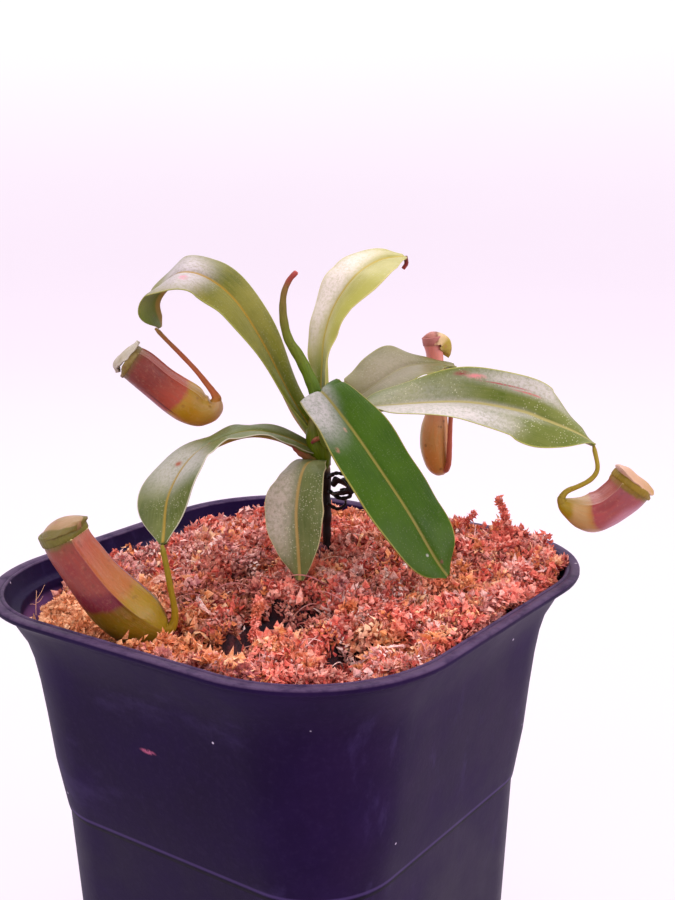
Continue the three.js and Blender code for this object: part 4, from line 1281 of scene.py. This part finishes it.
def make_moss():
    """Sprigs, ropes and tufted heads in families of tone, then tall strands and loose flakes."""
    random = np.random.default_rng(11)
    skins = {name: Skin() for name in MOSS_SHADES}
    lay(SPRIG_COUNT, random, skins, lay_sprig)
    lay(ROPE_COUNT, random, skins, lay_rope)
    lay(ROSETTE_COUNT, random, skins, lay_rosette)
    for name, skin in skins.items():
        material = moss_finish("moss_" + name, MOSS_SHADES[name])
        skin.piece(f"moss_sprigs_{name}", [material], "moss", closed=False, smooth=False)
    tall = Skin()
    for rows in TALL_STRANDS:
        path = to_pot(along_rows(rows, np.linspace(0, 1, 24))[:, :3])
        for _ in range(3):
            tone = random.uniform(0.5, 0.75)
            clothe(tall, random, path, tone, rows[0][3] * 0.95, 0.7, 0.1, 0.5, (0.8, 1.5))
    tall.piece("moss_tall_strands", [bpy.data.materials["moss_coral"]], "moss", closed=False, smooth=False)
    flakes = {name: Skin() for name in ("coral", "orange", "pink")}
    lay(FLAKE_COUNT, random, flakes, lay_flake)
    for rows in BROAD_FLAKES:
        values = along_rows(rows, np.linspace(0, 1, 14))
        ribbon(flakes["pink"], random, to_pot(values[:, :3]), values[:, 3], 0.8)
    for name, skin in flakes.items():
        material = bpy.data.materials["moss_" + name]
        skin.piece("moss_flakes_" + name, [material], "moss", closed=False, smooth=False)


def make_fibres():
    """Thin dry fibres that curl out of the moss, the roots below the stem and the threads on the wall."""
    random = np.random.default_rng(23)
    skin = Skin()
    made = 0
    steps = np.linspace(0, 1, 10)
    while made < FIBRE_COUNT:
        x, y = random.uniform(-41, 41, 2)
        if past_corner(x, y) > 17 or not clear_of_plant(x, y, 3):
            continue
        length, rise = random.uniform(3, 9), random.uniform(0.1, 0.7)
        px, py = wandering(random, x, y, length, steps)
        if np.any(past_corner(px, py) > 20):
            continue
        pz = moss_height(x, y) + rise * length * np.sin(steps * 2.2) * 0.6
        radius = random.uniform(0.1, 0.22)
        tube(skin, np.column_stack([px, py, pz]), radius * (1 - 0.7 * steps), 5, random.uniform(0.3, 1))
        made += 1
    for rows in THREADS:
        values = along_rows(rows, steps)
        tube(skin, keep_inside(to_pot(values[:, :3])), values[:, 3], 6, 0.75)
    skin.piece("moss_fibres", [moss_finish("moss_fibre", MOSS_SHADES["pink"])], "moss", closed=False)
    roots = Skin()
    for rows in ROOTS:
        values = along_rows(rows, np.linspace(0, 1, 24))
        knobbly = values[:, 3] * random.uniform(0.85, 1.2, 24)
        tube(roots, to_pot(values[:, :3]), knobbly, 14, 0.3)
    bark = moss_finish("root_bark", [(0.0, "#1c0c18"), (0.3, "#472336"), (1.0, "#7c4a5e")])
    roots.piece("roots", [bark], "moss")


# Leaves

# Places across half a blade, from its margin to its midrib
HALF_BLADE = np.array([-1, -0.985, -0.94, -0.86, -0.74, -0.6, -0.45, -0.3, -0.18, -0.1, -0.05, 0])


def make_blade(name, rows, finishes, slot, node, seed, steps=110, thickness=0.7, petiole=0.9, wave=0.28):
    """A leaf blade: convex halves beside a grooved midrib, a thin waved margin and a thick stalk end."""
    start, end = rows[0], rows[-1]
    reference = unit(np.array([end[1] - start[1], start[0] - end[0], 0.0]))
    random = np.random.default_rng(seed)
    places = np.linspace(0, 1, steps)
    values, _, side, upright = frames(rows, places, reference)
    half, roll, fold = values[:, 3], np.radians(values[:, 4]), np.radians(values[:, 5])
    side, upright = (
        np.cos(roll)[:, None] * side + np.sin(roll)[:, None] * upright,
        np.cos(roll)[:, None] * upright - np.sin(roll)[:, None] * side,
    )
    share = np.concatenate([HALF_BLADE, -HALF_BLADE[-2::-1]])
    size = np.abs(share)[None, :]
    width = half[:, None]
    grown = np.minimum(1, width / 3)
    rounded = np.sqrt(size**2 + 0.012) - math.sqrt(0.012)
    phases = random.uniform(0, 6.3, 4)
    ripple = np.where(
        share[None, :] < 0,
        np.sin(places[:, None] * 17 + phases[0]) + 0.6 * np.sin(places[:, None] * 37 + phases[1]),
        np.sin(places[:, None] * 19 + phases[2]) + 0.6 * np.sin(places[:, None] * 33 + phases[3]))
    height = width * rounded * np.sin(fold)[:, None]
    height = height + 0.05 * width * 4 * size * (1 - size) * grown
    height = height - 0.3 * np.exp(-((size * width / 0.5) ** 2)) * grown
    height = height + wave * ripple * size**3 * grown
    spread = width * share[None, :] * np.cos(fold)[:, None]
    centre = values[:, None, :3]
    top = centre + spread[..., None] * side[:, None] + height[..., None] * upright[:, None]
    stalk = 1 - smooth_step(places, 0.02, 0.22)
    depth = thickness * (1 - 0.78 * size**5) + 0.45 * np.exp(-((size * width / 0.75) ** 2)) * grown
    depth = depth + petiole * stalk[:, None] * np.sqrt(np.maximum(1 - size**2, 0))
    bottom = top - depth[..., None] * upright[:, None]
    blade_piece(name, top, bottom, share, places, values, finishes, slot, node)


def blade_piece(name, top, bottom, share, places, values, finishes, slot, node):
    """Makes the piece between a top and an underside, with the first finish on top and the second below."""
    rings = to_pot(np.concatenate([top, bottom[:, ::-1]], 1))
    reach = lengths(values[:, :3]) / 10
    skin = Skin()
    across = (share + 1) / 2
    true_across = share[None, :] * values[:, 3:4] / 10
    count = len(share)
    for look, columns, shares, true in (
        (0, list(range(count)), across, true_across),
        (1, list(range(count, 2 * count)), across[::-1], true_across[:, ::-1]),
    ):
        flat = np.stack([true, np.broadcast_to(reach[:, None], true.shape)], -1)
        skin.grid(rings[:, columns], chart(shares, places), flat, closed=False, look=look)
    weld(skin, rings.shape[0], count, chart(across, places))
    skin.piece(name, finishes, slot, [node])


def weld(skin, rows, count, place):
    """Closes a blade: faces along both margins and over both ends of its two grids."""
    upper = np.arange(rows * count).reshape(rows, count)
    lower = upper + rows * count
    for first, second, column in ((upper[:, -1], lower[:, 0], -1), (lower[:, -1], upper[:, 0], 0)):
        for k in range(rows - 1):
            skin.faces.append([int(first[k]), int(second[k]), int(second[k + 1]), int(first[k + 1])])
            corner = [place[k, column].tolist(), place[k, column].tolist()]
            ahead = [place[k + 1, column].tolist(), place[k + 1, column].tolist()]
            skin.place += corner + ahead
            skin.flat += [[1.0, 0.0]] * 4
            skin.looks.append(0)
    for row in (0, -1):
        for k in range(count - 1):
            skin.faces.append([int(upper[row, k]), int(upper[row, k + 1]),
                               int(lower[row, count - 2 - k]), int(lower[row, count - 1 - k])])
            skin.place += [place[row, k].tolist(), place[row, k + 1].tolist()] * 2
            skin.flat += [[0.1, 0.0]] * 4
            skin.looks.append(0)


# Pitchers


def pitcher_angles():
    """Degrees round a pitcher from the middle of its flat front, closer together at the two wings."""
    wing = [WING_ANGLE + k for k in (-6, -4, -2.5, -1.2, 0, 1.2, 2.5, 4, 6)]
    front = np.linspace(-20, 20, 7).tolist()
    back = np.linspace(42, 318, 36).tolist()
    return np.array(front + wing + back + [360 - a for a in reversed(wing)])


def arc_shares(rows, places):
    """Share of the axis's true length at places on its rows."""
    fine = np.linspace(0, 1, 400)
    reach = lengths(along_rows(rows, fine)[:, :3])
    return np.interp(places, fine, reach / reach[-1])


def off_front(degrees):
    """Degrees from the front's middle, whichever way round."""
    return np.abs((degrees + 180) % 360 - 180)


def drawn_in(off):
    """The share of its radius by which a round section is drawn in between the wings."""
    chord = math.cos(math.radians(WING_ANGLE)) / np.cos(np.radians(np.minimum(off, 60)))
    return FRONT_FLATNESS * np.where(off < WING_ANGLE, 1 - chord, 0)


def pitcher_rings(rows, front, places, inset=0.0, lift=0.0, wing=WING_HEIGHT):
    """Sections of a pitcher at places along its axis."""
    values, along, _, _ = frames(rows, places, AWAY)
    broad = unit(along_rows(rows, places + 0.16)[:, :3] - along_rows(rows, places - 0.16)[:, :3])
    along = unit(along + (1 - smooth_step(places, 0.35, 0.65))[:, None] * (broad - along))
    side = unit(AWAY - (along @ AWAY)[:, None] * along)
    upright = np.cross(side, along)
    degrees = pitcher_angles()
    off = off_front(degrees)
    turn = np.radians(degrees + front)
    flatness = smooth_step(arc_shares(rows, places), 0.12, 0.42)[:, None]
    reach = (values[:, 3:4] - inset) * (1 - flatness * drawn_in(off)[None, :])
    rise = wing * np.minimum(1, values[:, 3:4] / 4) * flatness
    reach = reach + rise * np.exp(-(((off - WING_ANGLE) / 3.6) ** 2))[None, :]
    circle = np.cos(turn)[None, :, None] * side[:, None] + np.sin(turn)[None, :, None] * upright[:, None]
    centre = values[:, None, :3] + lift * along[:, None]
    return to_pot(centre + reach[..., None] * circle)


def make_pitcher(number, skins):
    """The cup: its skin outside, and its waxy lining from the lip down."""
    front, rows, _ = PITCHERS[number]
    outer = np.linspace(0, MOUTH_PLACE, CUP_STEPS)
    inner = np.linspace(MOUTH_PLACE, LINING_END, LINING_STEPS)
    skin = Skin()
    rings = pitcher_rings(rows, front, outer)
    shares = share_round(pitcher_angles())
    mean_radius = np.mean([row[3] for row in rows]) / 10
    reach = arc_shares(rows, outer)
    axis = lengths(along_rows(rows, outer)[:, :3])[-1] / 10
    flat = chart(shares * 2 * math.pi * mean_radius, reach * axis)
    skin.grid(rings, chart(shares, reach), flat, look=0, ends=(True, False))
    turn_in = pitcher_rings(rows, front, inner, PITCHER_WALL, wing=0)
    lip = np.concatenate([rings[-1:], pitcher_rings(rows, front, np.array([1.0]), -0.1, 0.15, 0),
                          pitcher_rings(rows, front, np.array([1.0]), 0.3, LIP_HEIGHT * 0.6, 0), turn_in])
    along = np.linspace(1, LINING_END, len(lip))
    skin.grid(lip, chart(shares, along), look=1, ends=(False, True))
    skin.piece(f"pitcher_body_{number}", skins, "pitcher", [f"pitcher_{number}"])


def share_round(degrees):
    """Share of the turn from the front's middle, running on past 0 so that no face wraps round."""
    shares = degrees / 360
    return np.append(shares, shares[0] + 1)


def make_collar(number, finish_used, height, back_height, thick):
    """The ribbed lip round a pitcher's mouth, which rises to the lid that rests on it."""
    front, rows, _ = PITCHERS[number]
    values, along, side, upright = frames(rows, np.array([COLLAR_PLACE]), AWAY)
    turn = np.linspace(0, 2 * math.pi, COLLAR_SIDES, endpoint=False)
    section = np.linspace(0, 2 * math.pi, COLLAR_SECTION, endpoint=False)
    outline = values[0, 3] * (1 - drawn_in(off_front(np.degrees(turn) - front)))
    ribs = 1 + 0.08 * np.cos(turn * COLLAR_RIBS)
    forward = smooth_step(np.cos(turn - math.radians(front)), -0.75, -0.1)
    lifted = back_height + (height - back_height) * forward
    circle = np.cos(turn)[:, None] * side[0] + np.sin(turn)[:, None] * upright[0]
    rings = []
    for angle in section:
        out = outline + (thick * np.cos(angle) - 0.1) * ribs
        rise = 0.3 * np.sin(angle) * ribs + 0.12 + lifted * smooth_step(np.sin(angle), -0.4, 0.6)
        rings.append(values[0, :3] + out[:, None] * circle + rise[:, None] * along[0])
    rings = to_pot(np.array(rings + rings[:1]))
    skin = Skin()
    skin.grid(rings, ring_chart(rings))
    obj = skin.piece(f"collar_{number}", [finish_used], "pitcher", closed=False)
    face_outwards(obj.data, SEAM_REACH)


def make_flap(number, finish_used, sag, fill, end_sag):
    """The lid: a lens with thin margins along its crest.

    sag lets its sides hang further down, end_sag those of its end, and fill thickens its first half.
    """
    front, rows, lid = PITCHERS[number]
    mouth, along, side, upright = frames(rows, np.array([1.0]), AWAY)
    turn = math.radians(front)
    forward = math.cos(turn) * side[0] + math.sin(turn) * upright[0]
    crest = [
        (*(mouth[0, :3] + forwards * forward + outwards * along[0]), *rest)
        for forwards, outwards, *rest in lid
    ]
    places = np.linspace(0, 1, LID_STEPS)
    values, _, sideways, out = frames(crest, places, np.cross(forward, along[0]))
    share = np.sin(np.linspace(-math.pi / 2, math.pi / 2, LID_COLUMNS))
    size = np.abs(share)[None, :]
    rounding = np.sqrt(1 - 0.85 * np.abs(2 * places - 1) ** 10)[:, None]
    half = values[:, 3:4] * rounding
    droop = values[:, 5:6] + sag + end_sag * smooth_step(places, 0.42, 0.7)[:, None]
    thick = values[:, 4:5] + fill * (1 - smooth_step(places, 0.35, 0.6))[:, None]
    waves = 0.06 * np.sin(places * 31)[:, None] * size**2
    waves = waves + 0.05 * np.sin(places[:, None] * 17 + share[None, :] * 5)
    down = (thick - LID_EDGE + droop) * size**2 + waves
    depth = thick + droop * size**2 - (LID_EDGE - 0.15) * size**5 + waves
    centre = values[:, None, :3] + (half * share[None, :])[..., None] * sideways[:, None]
    top = centre - down[..., None] * out[:, None]
    bottom = centre - depth[..., None] * out[:, None]
    finishes = [finish_used] * 2
    blade_piece(f"lid_flap_{number}", top, bottom, share, places, values, finishes, "lid", f"lid_{number}")


def make_rod(name, rows, material, slot, node, steps, sides=24, bumps=0.03, run_in=0.0, knots=()):
    """A stem, spear or tendril, a little uneven, drawn in at its ends and run on at its start."""
    values = along_rows(rows, np.linspace(0, 1, steps))
    path, radii = values[:, :3], values[:, 3]
    if run_in:
        path = np.vstack([path[0] + unit(path[0] - path[1]) * run_in, path])
        radii = np.append(radii[0], radii)
    shares = np.linspace(0, 1, len(path))
    radii = radii * (1 + bumps * np.sin(shares * 61) + bumps * np.sin(shares * 23 + 1))
    for at, size, width in knots:
        radii = radii + size * np.exp(-(((shares - at) / width) ** 2))
    radii[[0, -1]] *= ROD_END
    skin = Skin()
    tube(skin, to_pot(path), radii, sides)
    skin.piece(name, [material], slot, [node])


def make_strands(name, lines, material, slot, steps, sides, swell=0.0, pitch=0.0):
    """A piece of short tubes that swell and thin a little along their length."""
    swelling = 1 + swell * np.sin(np.arange(steps) * pitch)
    skin = Skin()
    for rows in lines:
        values = along_rows(rows, np.linspace(0, 1, steps))
        tube(skin, to_pot(values[:, :3]), values[:, 3] * swelling, sides)
    skin.piece(name, [material], slot)


# Looks of the leaves, tendrils and pitchers, by number

# The grey-white tone and ovals given for each leaf are a painted sheen.
LEAF_LOOKS = {
    "1": dict(
        deep="#5c5f14", light="#8c8534", sheen_tone="#cfc2c6", midrib="#b08a2c", scurf=0.25, depth=0.75,
        sheen_ovals=[((0.5, 0.62), (0.8, 0.2), 0.9)],
        washes=[((0.5, 0.0), (0.9, 0.3), "#566608")],
        marks=[((0.3, 0.6), (0.1, 0.03), "#d68a9a")],
    ),
    "2": dict(
        deep="#4e5a20", light="#787c48", sheen_tone="#ccc4be", margin="#d0c8b0", scurf=0.4, depth=0.8,
        sheen_ovals=[((0.5, 0.7), (0.9, 0.17), 0.7)],
        marks=[((0.6, 0.7), (0.08, 0.02), "#a0553a"), ((0.5, 0.55), (0.06, 0.02), "#b0604e")],
    ),
    "3": dict(
        deep="#4c5a2a", light="#7c8050", sheen_tone="#c4b4a6", margin="#c7b98a", midrib="#b09052",
        sheen_ovals=[((0.85, 0.5), (0.45, 0.5), 0.85)],
    ),
    "4": dict(
        deep="#365a00", light="#4e7204", sheen_tone="#f4e8e8", margin="#c0b458", midrib="#a89a48",
        scurf=0.12, depth=0.5,
        sheen_ovals=[((0.84, 0.33), (0.46, 0.2), 0.75), ((0.5, 0.27), (0.3, 0.14), 0.4)],
        marks=[
            ((0.62, 0.45), (0.035, 0.012), "#e0a890"),
            ((0.42, 0.9), (0.06, 0.02), "#8d5a48"),
            ((0.62, 0.84), (0.04, 0.008), "#e8e0d8"),
            ((0.9, 0.5), (0.04, 0.012), "#c08a70"),
        ],
    ),
    "5": dict(
        deep="#4c5a1a", light="#74783c", sheen_tone="#c8bebc", midrib="#a89c60", scurf=0.5,
        sheen_ovals=[
            ((0.84, 0.36), (0.42, 0.36), 0.85),
            ((0.12, 0.62), (0.22, 0.26), 0.75),
            ((0.55, 0.42), (0.14, 0.4), 0.55),
            ((0.4, 0.3), (0.5, 0.2), 0.3),
        ],
        marks=[
            ((0.1, 0.425), (0.06, 0.022), "#84403c"),
            ((0.14, 0.455), (0.055, 0.03), "#cc7c7c"),
            ((0.2, 0.53), (0.018, 0.1), "#9c3c40"),
            ((0.24, 0.6), (0.02, 0.08), "#b8605c"),
        ],
    ),
    "6": dict(
        deep="#6c6a34", light="#928a58", sheen_tone="#b6a898", midrib="#9a9068", depth=0.66,
        sheen_ovals=[((0.5, 0.55), (0.7, 0.35), 0.6)],
    ),
    "7": dict(
        deep="#98944c", light="#b8b070", sheen_tone="#eadcd6", margin="#c9bd78", midrib="#b5a048",
        scurf=0.3, depth=0.88,
        sheen_ovals=[((0.22, 0.58), (0.4, 0.42), 0.9)],
        washes=[((0.5, 0.0), (0.9, 0.32), "#5c7408"), ((0.9, 0.45), (0.3, 0.4), "#a8a448")],
    ),
}
YOUNG_LEAF = "7"

# Tones of each tendril from its leaf to its pitcher
TENDRIL_TONES = {
    "1": [(0.0, "#9a7030"), (0.3, "#b8663c"), (0.7, "#c46c40"), (0.88, "#be7e32"), (1.0, "#b88e20")],
    "2": [(0.0, "#948622"), (0.5, "#a88a1c"), (1.0, "#b08c1a")],
    "3": [(0.0, "#a06a40"), (0.5, "#bc6048"), (1.0, "#b4684a")],
    "4": [(0.0, "#b09a30"), (0.5, "#a89028"), (1.0, "#a08428")],
    "7": [(0.0, "#7a3028"), (0.5, "#8c2c28"), (1.0, "#a03a30")],
}

# Tones from a pitcher's base to its mouth, round the back as stops and on the front as face
PITCHER_LOOKS = {
    "1": dict(
        stops=[
            (0.0, "#d0a868"), (0.06, "#d8ac80"), (0.16, "#c09a40"), (0.36, "#b4890f"), (0.46, "#b88a20"),
            (0.5, "#b4503a"), (0.6, "#a8452f"), (0.78, "#86342a"), (0.93, "#80342a"), (0.965, "#744a28"),
            (1.0, "#7c6430"),
        ],
        face=[(0.0, "#d0a860"), (0.4, "#d4aa58"), (0.5, "#d0603c"), (0.9, "#b44c3c"), (1.0, "#9a7040")],
        speck="#6b2018", turn=0.1, face_amount=0.55, depth=0.66,
        bands=[
            ((0.43, 0.65), (0.1, 0.32), "#9c4a5e", 0.8),
            ((0.335, 0.56), (0.013, 0.24), "#5a1018", 0.9),
            ((0.4, 0.36), (0.09, 0.1), "#c07a44", 0.6),
        ],
    ),
    "2": dict(
        stops=[
            (0.0, "#9a7e20"), (0.3, "#8a6a10"), (0.41, "#825c14"), (0.45, "#7a2432"), (0.54, "#7c2834"),
            (0.6, "#96443c"), (0.9, "#964238"), (0.95, "#8c4a36"), (0.98, "#74602c"), (1.0, "#7c6a2c"),
        ],
        face=[
            (0.0, "#a88e14"), (0.4, "#ac8818"), (0.47, "#b87434"), (0.75, "#b8663c"), (0.9, "#b45840"),
            (0.96, "#c07460"), (1.0, "#b0805c"),
        ],
        speck="#5a3010", slant=0.12, turn=0.35, face_amount=0.9, depth=0.66,
        bands=[((0.42, 0.75), (0.07, 0.2), "#9a6a70", 0.5), ((0.2, 0.8), (0.06, 0.08), "#8c2a30", 0.5)],
    ),
    "3": dict(
        stops=[
            (0.0, "#a87838"), (0.36, "#aa7a40"), (0.46, "#b07c50"), (0.58, "#bd7c6c"), (0.9, "#c98276"),
            (1.0, "#c47874"),
        ],
        face=[(0.0, "#b8744c"), (1.0, "#c07866")],
        speck="#5a3a18", slant=0.03, depth=1.0, dotted=0.5,
        bands=[((0.47, 0.25), (0.07, 0.25), "#98966c", 0.75), ((0.12, 0.25), (0.05, 0.3), "#c8966a", 0.6)],
    ),
    "4": dict(
        stops=[
            (0.0, "#aa9208"), (0.1, "#a88e10"), (0.16, "#caa468"), (0.3, "#c89c60"), (0.37, "#bc8640"),
            (0.42, "#a8484a"), (0.6, "#a04a4a"), (0.92, "#a05258"), (0.955, "#84680c"), (1.0, "#9a7e1c"),
        ],
        face=[(0.0, "#b09a40"), (0.35, "#d0aa88"), (0.45, "#cc8a84"), (0.86, "#a85a50"), (1.0, "#a08038")],
        speck="#7a2030", slant=0.05, turn=0.2, depth=0.66,
        bands=[
            ((0.66, 0.7), (0.13, 0.3), "#c8889c", 0.8),
            ((0.62, 0.4), (0.1, 0.1), "#d8a08c", 0.6),
            ((0.87, 0.62), (0.04, 0.3), "#8c3034", 0.6),
        ],
    ),
}

# Stops, where a lid has them, run from its hinge to its end
LID_LOOKS = {
    "1": dict(dark="#a89a7c", pale="#cfc4b4", spot="#a88a5c", depth=0.72),
    "2": dict(
        dark="#a0804e", pale="#c09874", spot="#b06a5a", depth=0.66, edge_tone="#6c6420", edge_half=0.28,
    ),
    "3": dict(
        dark="#a89848", pale="#cfa87c", spot="#a8684a", depth=0.85,
        stops=[
            (0.0, "#b46468"), (0.3, "#bc706c"), (0.36, "#7c3030"), (0.41, "#d8b48c"), (0.52, "#cfae78"),
            (0.62, "#a8901c"), (1.0, "#94801c"),
        ],
    ),
    "4": dict(
        dark="#d09a68", pale="#e8b898", spot="#c87a6a", depth=0.64,
        stops=[(0.0, "#c08c60"), (0.2, "#cc9c50"), (0.45, "#dca878"), (1.0, "#e8bca8")],
    ),
}
# How far each lid's sides sag, its first half is thickened and its end closes on the tube
FLAP_FILLS = {"1": (0.2, 0.3, 0.3), "2": (0, 0, 0), "3": (0.9, 1.2, 1.4), "4": (0, 0.2, 0)}
# The lip's dark, pale and spot colours, how far its front and back rise to meet the lid, and its thickness
COLLAR_LOOKS = {
    "1": ("#7a6228", "#a08a50", "#7a3a28", 0.9, 0.2, 0.34),
    "2": ("#665e1c", "#857a34", "#7a5a30", 1.5, 1.6, 0.36),
    "3": ("#bd7068", "#c87c74", "#a85a50", 1.3, 1.3, 0.24),
    "4": ("#846a10", "#a0801c", "#8a5a20", 1.0, 0.2, 0.4),
}

# Assembly


def make_stage():
    """A pale floor that sweeps up into the backdrop all round."""
    profile = [(reach, 0.0) for reach in (*FLOOR_RINGS, FLOOR_REACH)]
    for k in range(1, SWEEP_STEPS + 1):
        bend = k * math.pi / (2 * SWEEP_STEPS)
        profile.append((FLOOR_REACH + SWEEP_RADIUS * math.sin(bend), SWEEP_RADIUS * (1 - math.cos(bend))))
    profile.append((FLOOR_REACH + SWEEP_RADIUS, BACKDROP_TOP))
    turn = np.linspace(0, 2 * math.pi, STAGE_SIDES, endpoint=False)
    rings = []
    for reach, height in profile:
        level = np.full(STAGE_SIDES, height)
        rings.append(np.column_stack([reach * np.cos(turn), reach * np.sin(turn), level]))
    index = np.arange(len(rings) * STAGE_SIDES).reshape(-1, STAGE_SIDES)
    index = np.hstack([index, index[:, :1]])
    faces = np.stack([index[:-1, :-1], index[:-1, 1:], index[1:, 1:], index[1:, :-1]], -1).reshape(-1, 4)
    mesh = bpy.data.meshes.new("sweep")
    mesh.from_pydata(np.concatenate(rings).tolist(), [], faces.tolist() + [index[0, :-1].tolist()])
    mesh.polygons.foreach_set("use_smooth", [True] * len(mesh.polygons))
    mesh.materials.append(backdrop_finish())
    sweep = bpy.data.objects.new("sweep", mesh)
    bpy.context.scene.collection.objects.link(sweep)


def light_stage():
    """A pale, faintly violet studio with three softboxes."""
    world = bpy.data.worlds.new("studio")
    world.use_nodes = True
    sky = world.node_tree.nodes["Background"]
    sky.inputs["Color"].default_value = (0.97, 0.93, 1.0, 1)
    sky.inputs["Strength"].default_value = 0.8
    bpy.context.scene.world = world
    softbox("overhead", (-0.15, 0.25, 0.75), 0.6, 4.5, (1.0, 0.96, 1.0))
    softbox("right_side", (0.75, 0.1, 0.45), 0.5, 3.0, (1.0, 0.93, 1.0))
    softbox("front", (-0.1, -0.8, 0.5), 0.7, 2.0, (1.0, 0.97, 0.98))
    bpy.context.scene.view_settings.view_transform = "Standard"


def make_leaves():
    """The seven blades. The youngest has paler faces."""
    under = leaf_under("leaf_underside", "#56661c", "#7f8a34")
    young_under = leaf_under("young_underside", "#8d9440", "#b3b05c", "#c5b368")
    for number, rows in LEAVES.items():
        top = leaf_top(f"leaf_{number}_top", **LEAF_LOOKS[number])
        young = number == YOUNG_LEAF
        slot = "young_leaf" if young else "leaf"
        below = young_under if young else under
        make_blade(f"blade_{number}", rows, [top, below], slot, f"leaf_{number}", int(number))


def make_stems():
    """The green and the dead stem, the spear, the dead leaf, and what clasps and curls round them."""
    green = stalk_finish("stem_green", [(0.0, "#7a6238"), (0.25, "#6c7610"), (1.0, "#668200")])
    dead_tones = [(0.0, "#1a0f14"), (0.7, "#241419"), (0.93, "#3c2826"), (1.0, "#8a7050")]
    dead = stalk_finish("stem_dead", dead_tones, "#0c0608")
    spear_tones = [(0.0, "#587a06"), (0.45, "#737a1c"), (0.8, "#8c6a34"), (0.93, "#a8443c"), (1.0, "#d0605a")]
    spear_skin = stalk_finish("spear_skin", spear_tones)
    bract_tones = [(0.0, "#7a1c3c"), (0.35, "#b06048"), (1.0, "#8c7a34")]
    bract_skin = stalk_finish("bract_skin", bract_tones, "#5a3018")
    green_knots = [(0.3, 0.15, 0.06), (0.7, 0.12, 0.06)]
    dead_knots = [(0.8, 0.2, 0.02), (0.9, 0.25, 0.015)]
    make_rod("stem_upper", GREEN_STEM, green, "stem", "green_stem", 30, knots=green_knots)
    make_rod("stem_lower", DEAD_STEM, dead, "dead", "dead_stem", 60, bumps=0.08, knots=dead_knots)
    make_rod("rolled_leaf", SPEAR, spear_skin, "young_leaf", "spear", 70)
    make_blade("dead_blade", DEAD_LEAF, [dead] * 2, "dead", "dead_leaf", 31, 60, 0.55, 0, 0.15)
    make_strands("leaf_clasps", CLASPS, green, "stem", 26, 20)
    make_strands("bract_and_bud", [BRACT, BUD], bract_skin, "stem", 22, 14, 0.1, 1.3)
    make_strands("dead_curls", DEAD_CURLS, dead, "dead", 26, 12, 0.15, 1.7)


def make_tendrils():
    """The tendrils, run on a little into the tips of their leaves."""
    for number, rows in TENDRILS.items():
        skin = stalk_finish(f"tendril_{number}_skin", TENDRIL_TONES[number], "#5a3018")
        name, node = f"tendril_line_{number}", f"tendril_{number}"
        make_rod(name, rows, skin, "tendril", node, 70, 18, 0.02, TENDRIL_RUN_IN)


def make_pitchers():
    """Each pitcher's cup, the lip round its mouth and its lid."""
    lining = inner_finish()
    for number, look in PITCHER_LOOKS.items():
        make_pitcher(number, [pitcher_finish(f"pitcher_{number}_skin", **look), lining])
        *shades, height, back_height, thick = COLLAR_LOOKS[number]
        make_collar(number, lid_finish(f"collar_{number}_skin", *shades), height, back_height, thick)
        make_flap(number, lid_finish(f"lid_{number}_skin", **LID_LOOKS[number]), *FLAP_FILLS[number])


place_camera()
make_stage()
light_stage()
make_pot()
make_moss_bed()
make_moss()
make_fibres()
make_leaves()
make_stems()
make_tendrils()
make_pitchers()
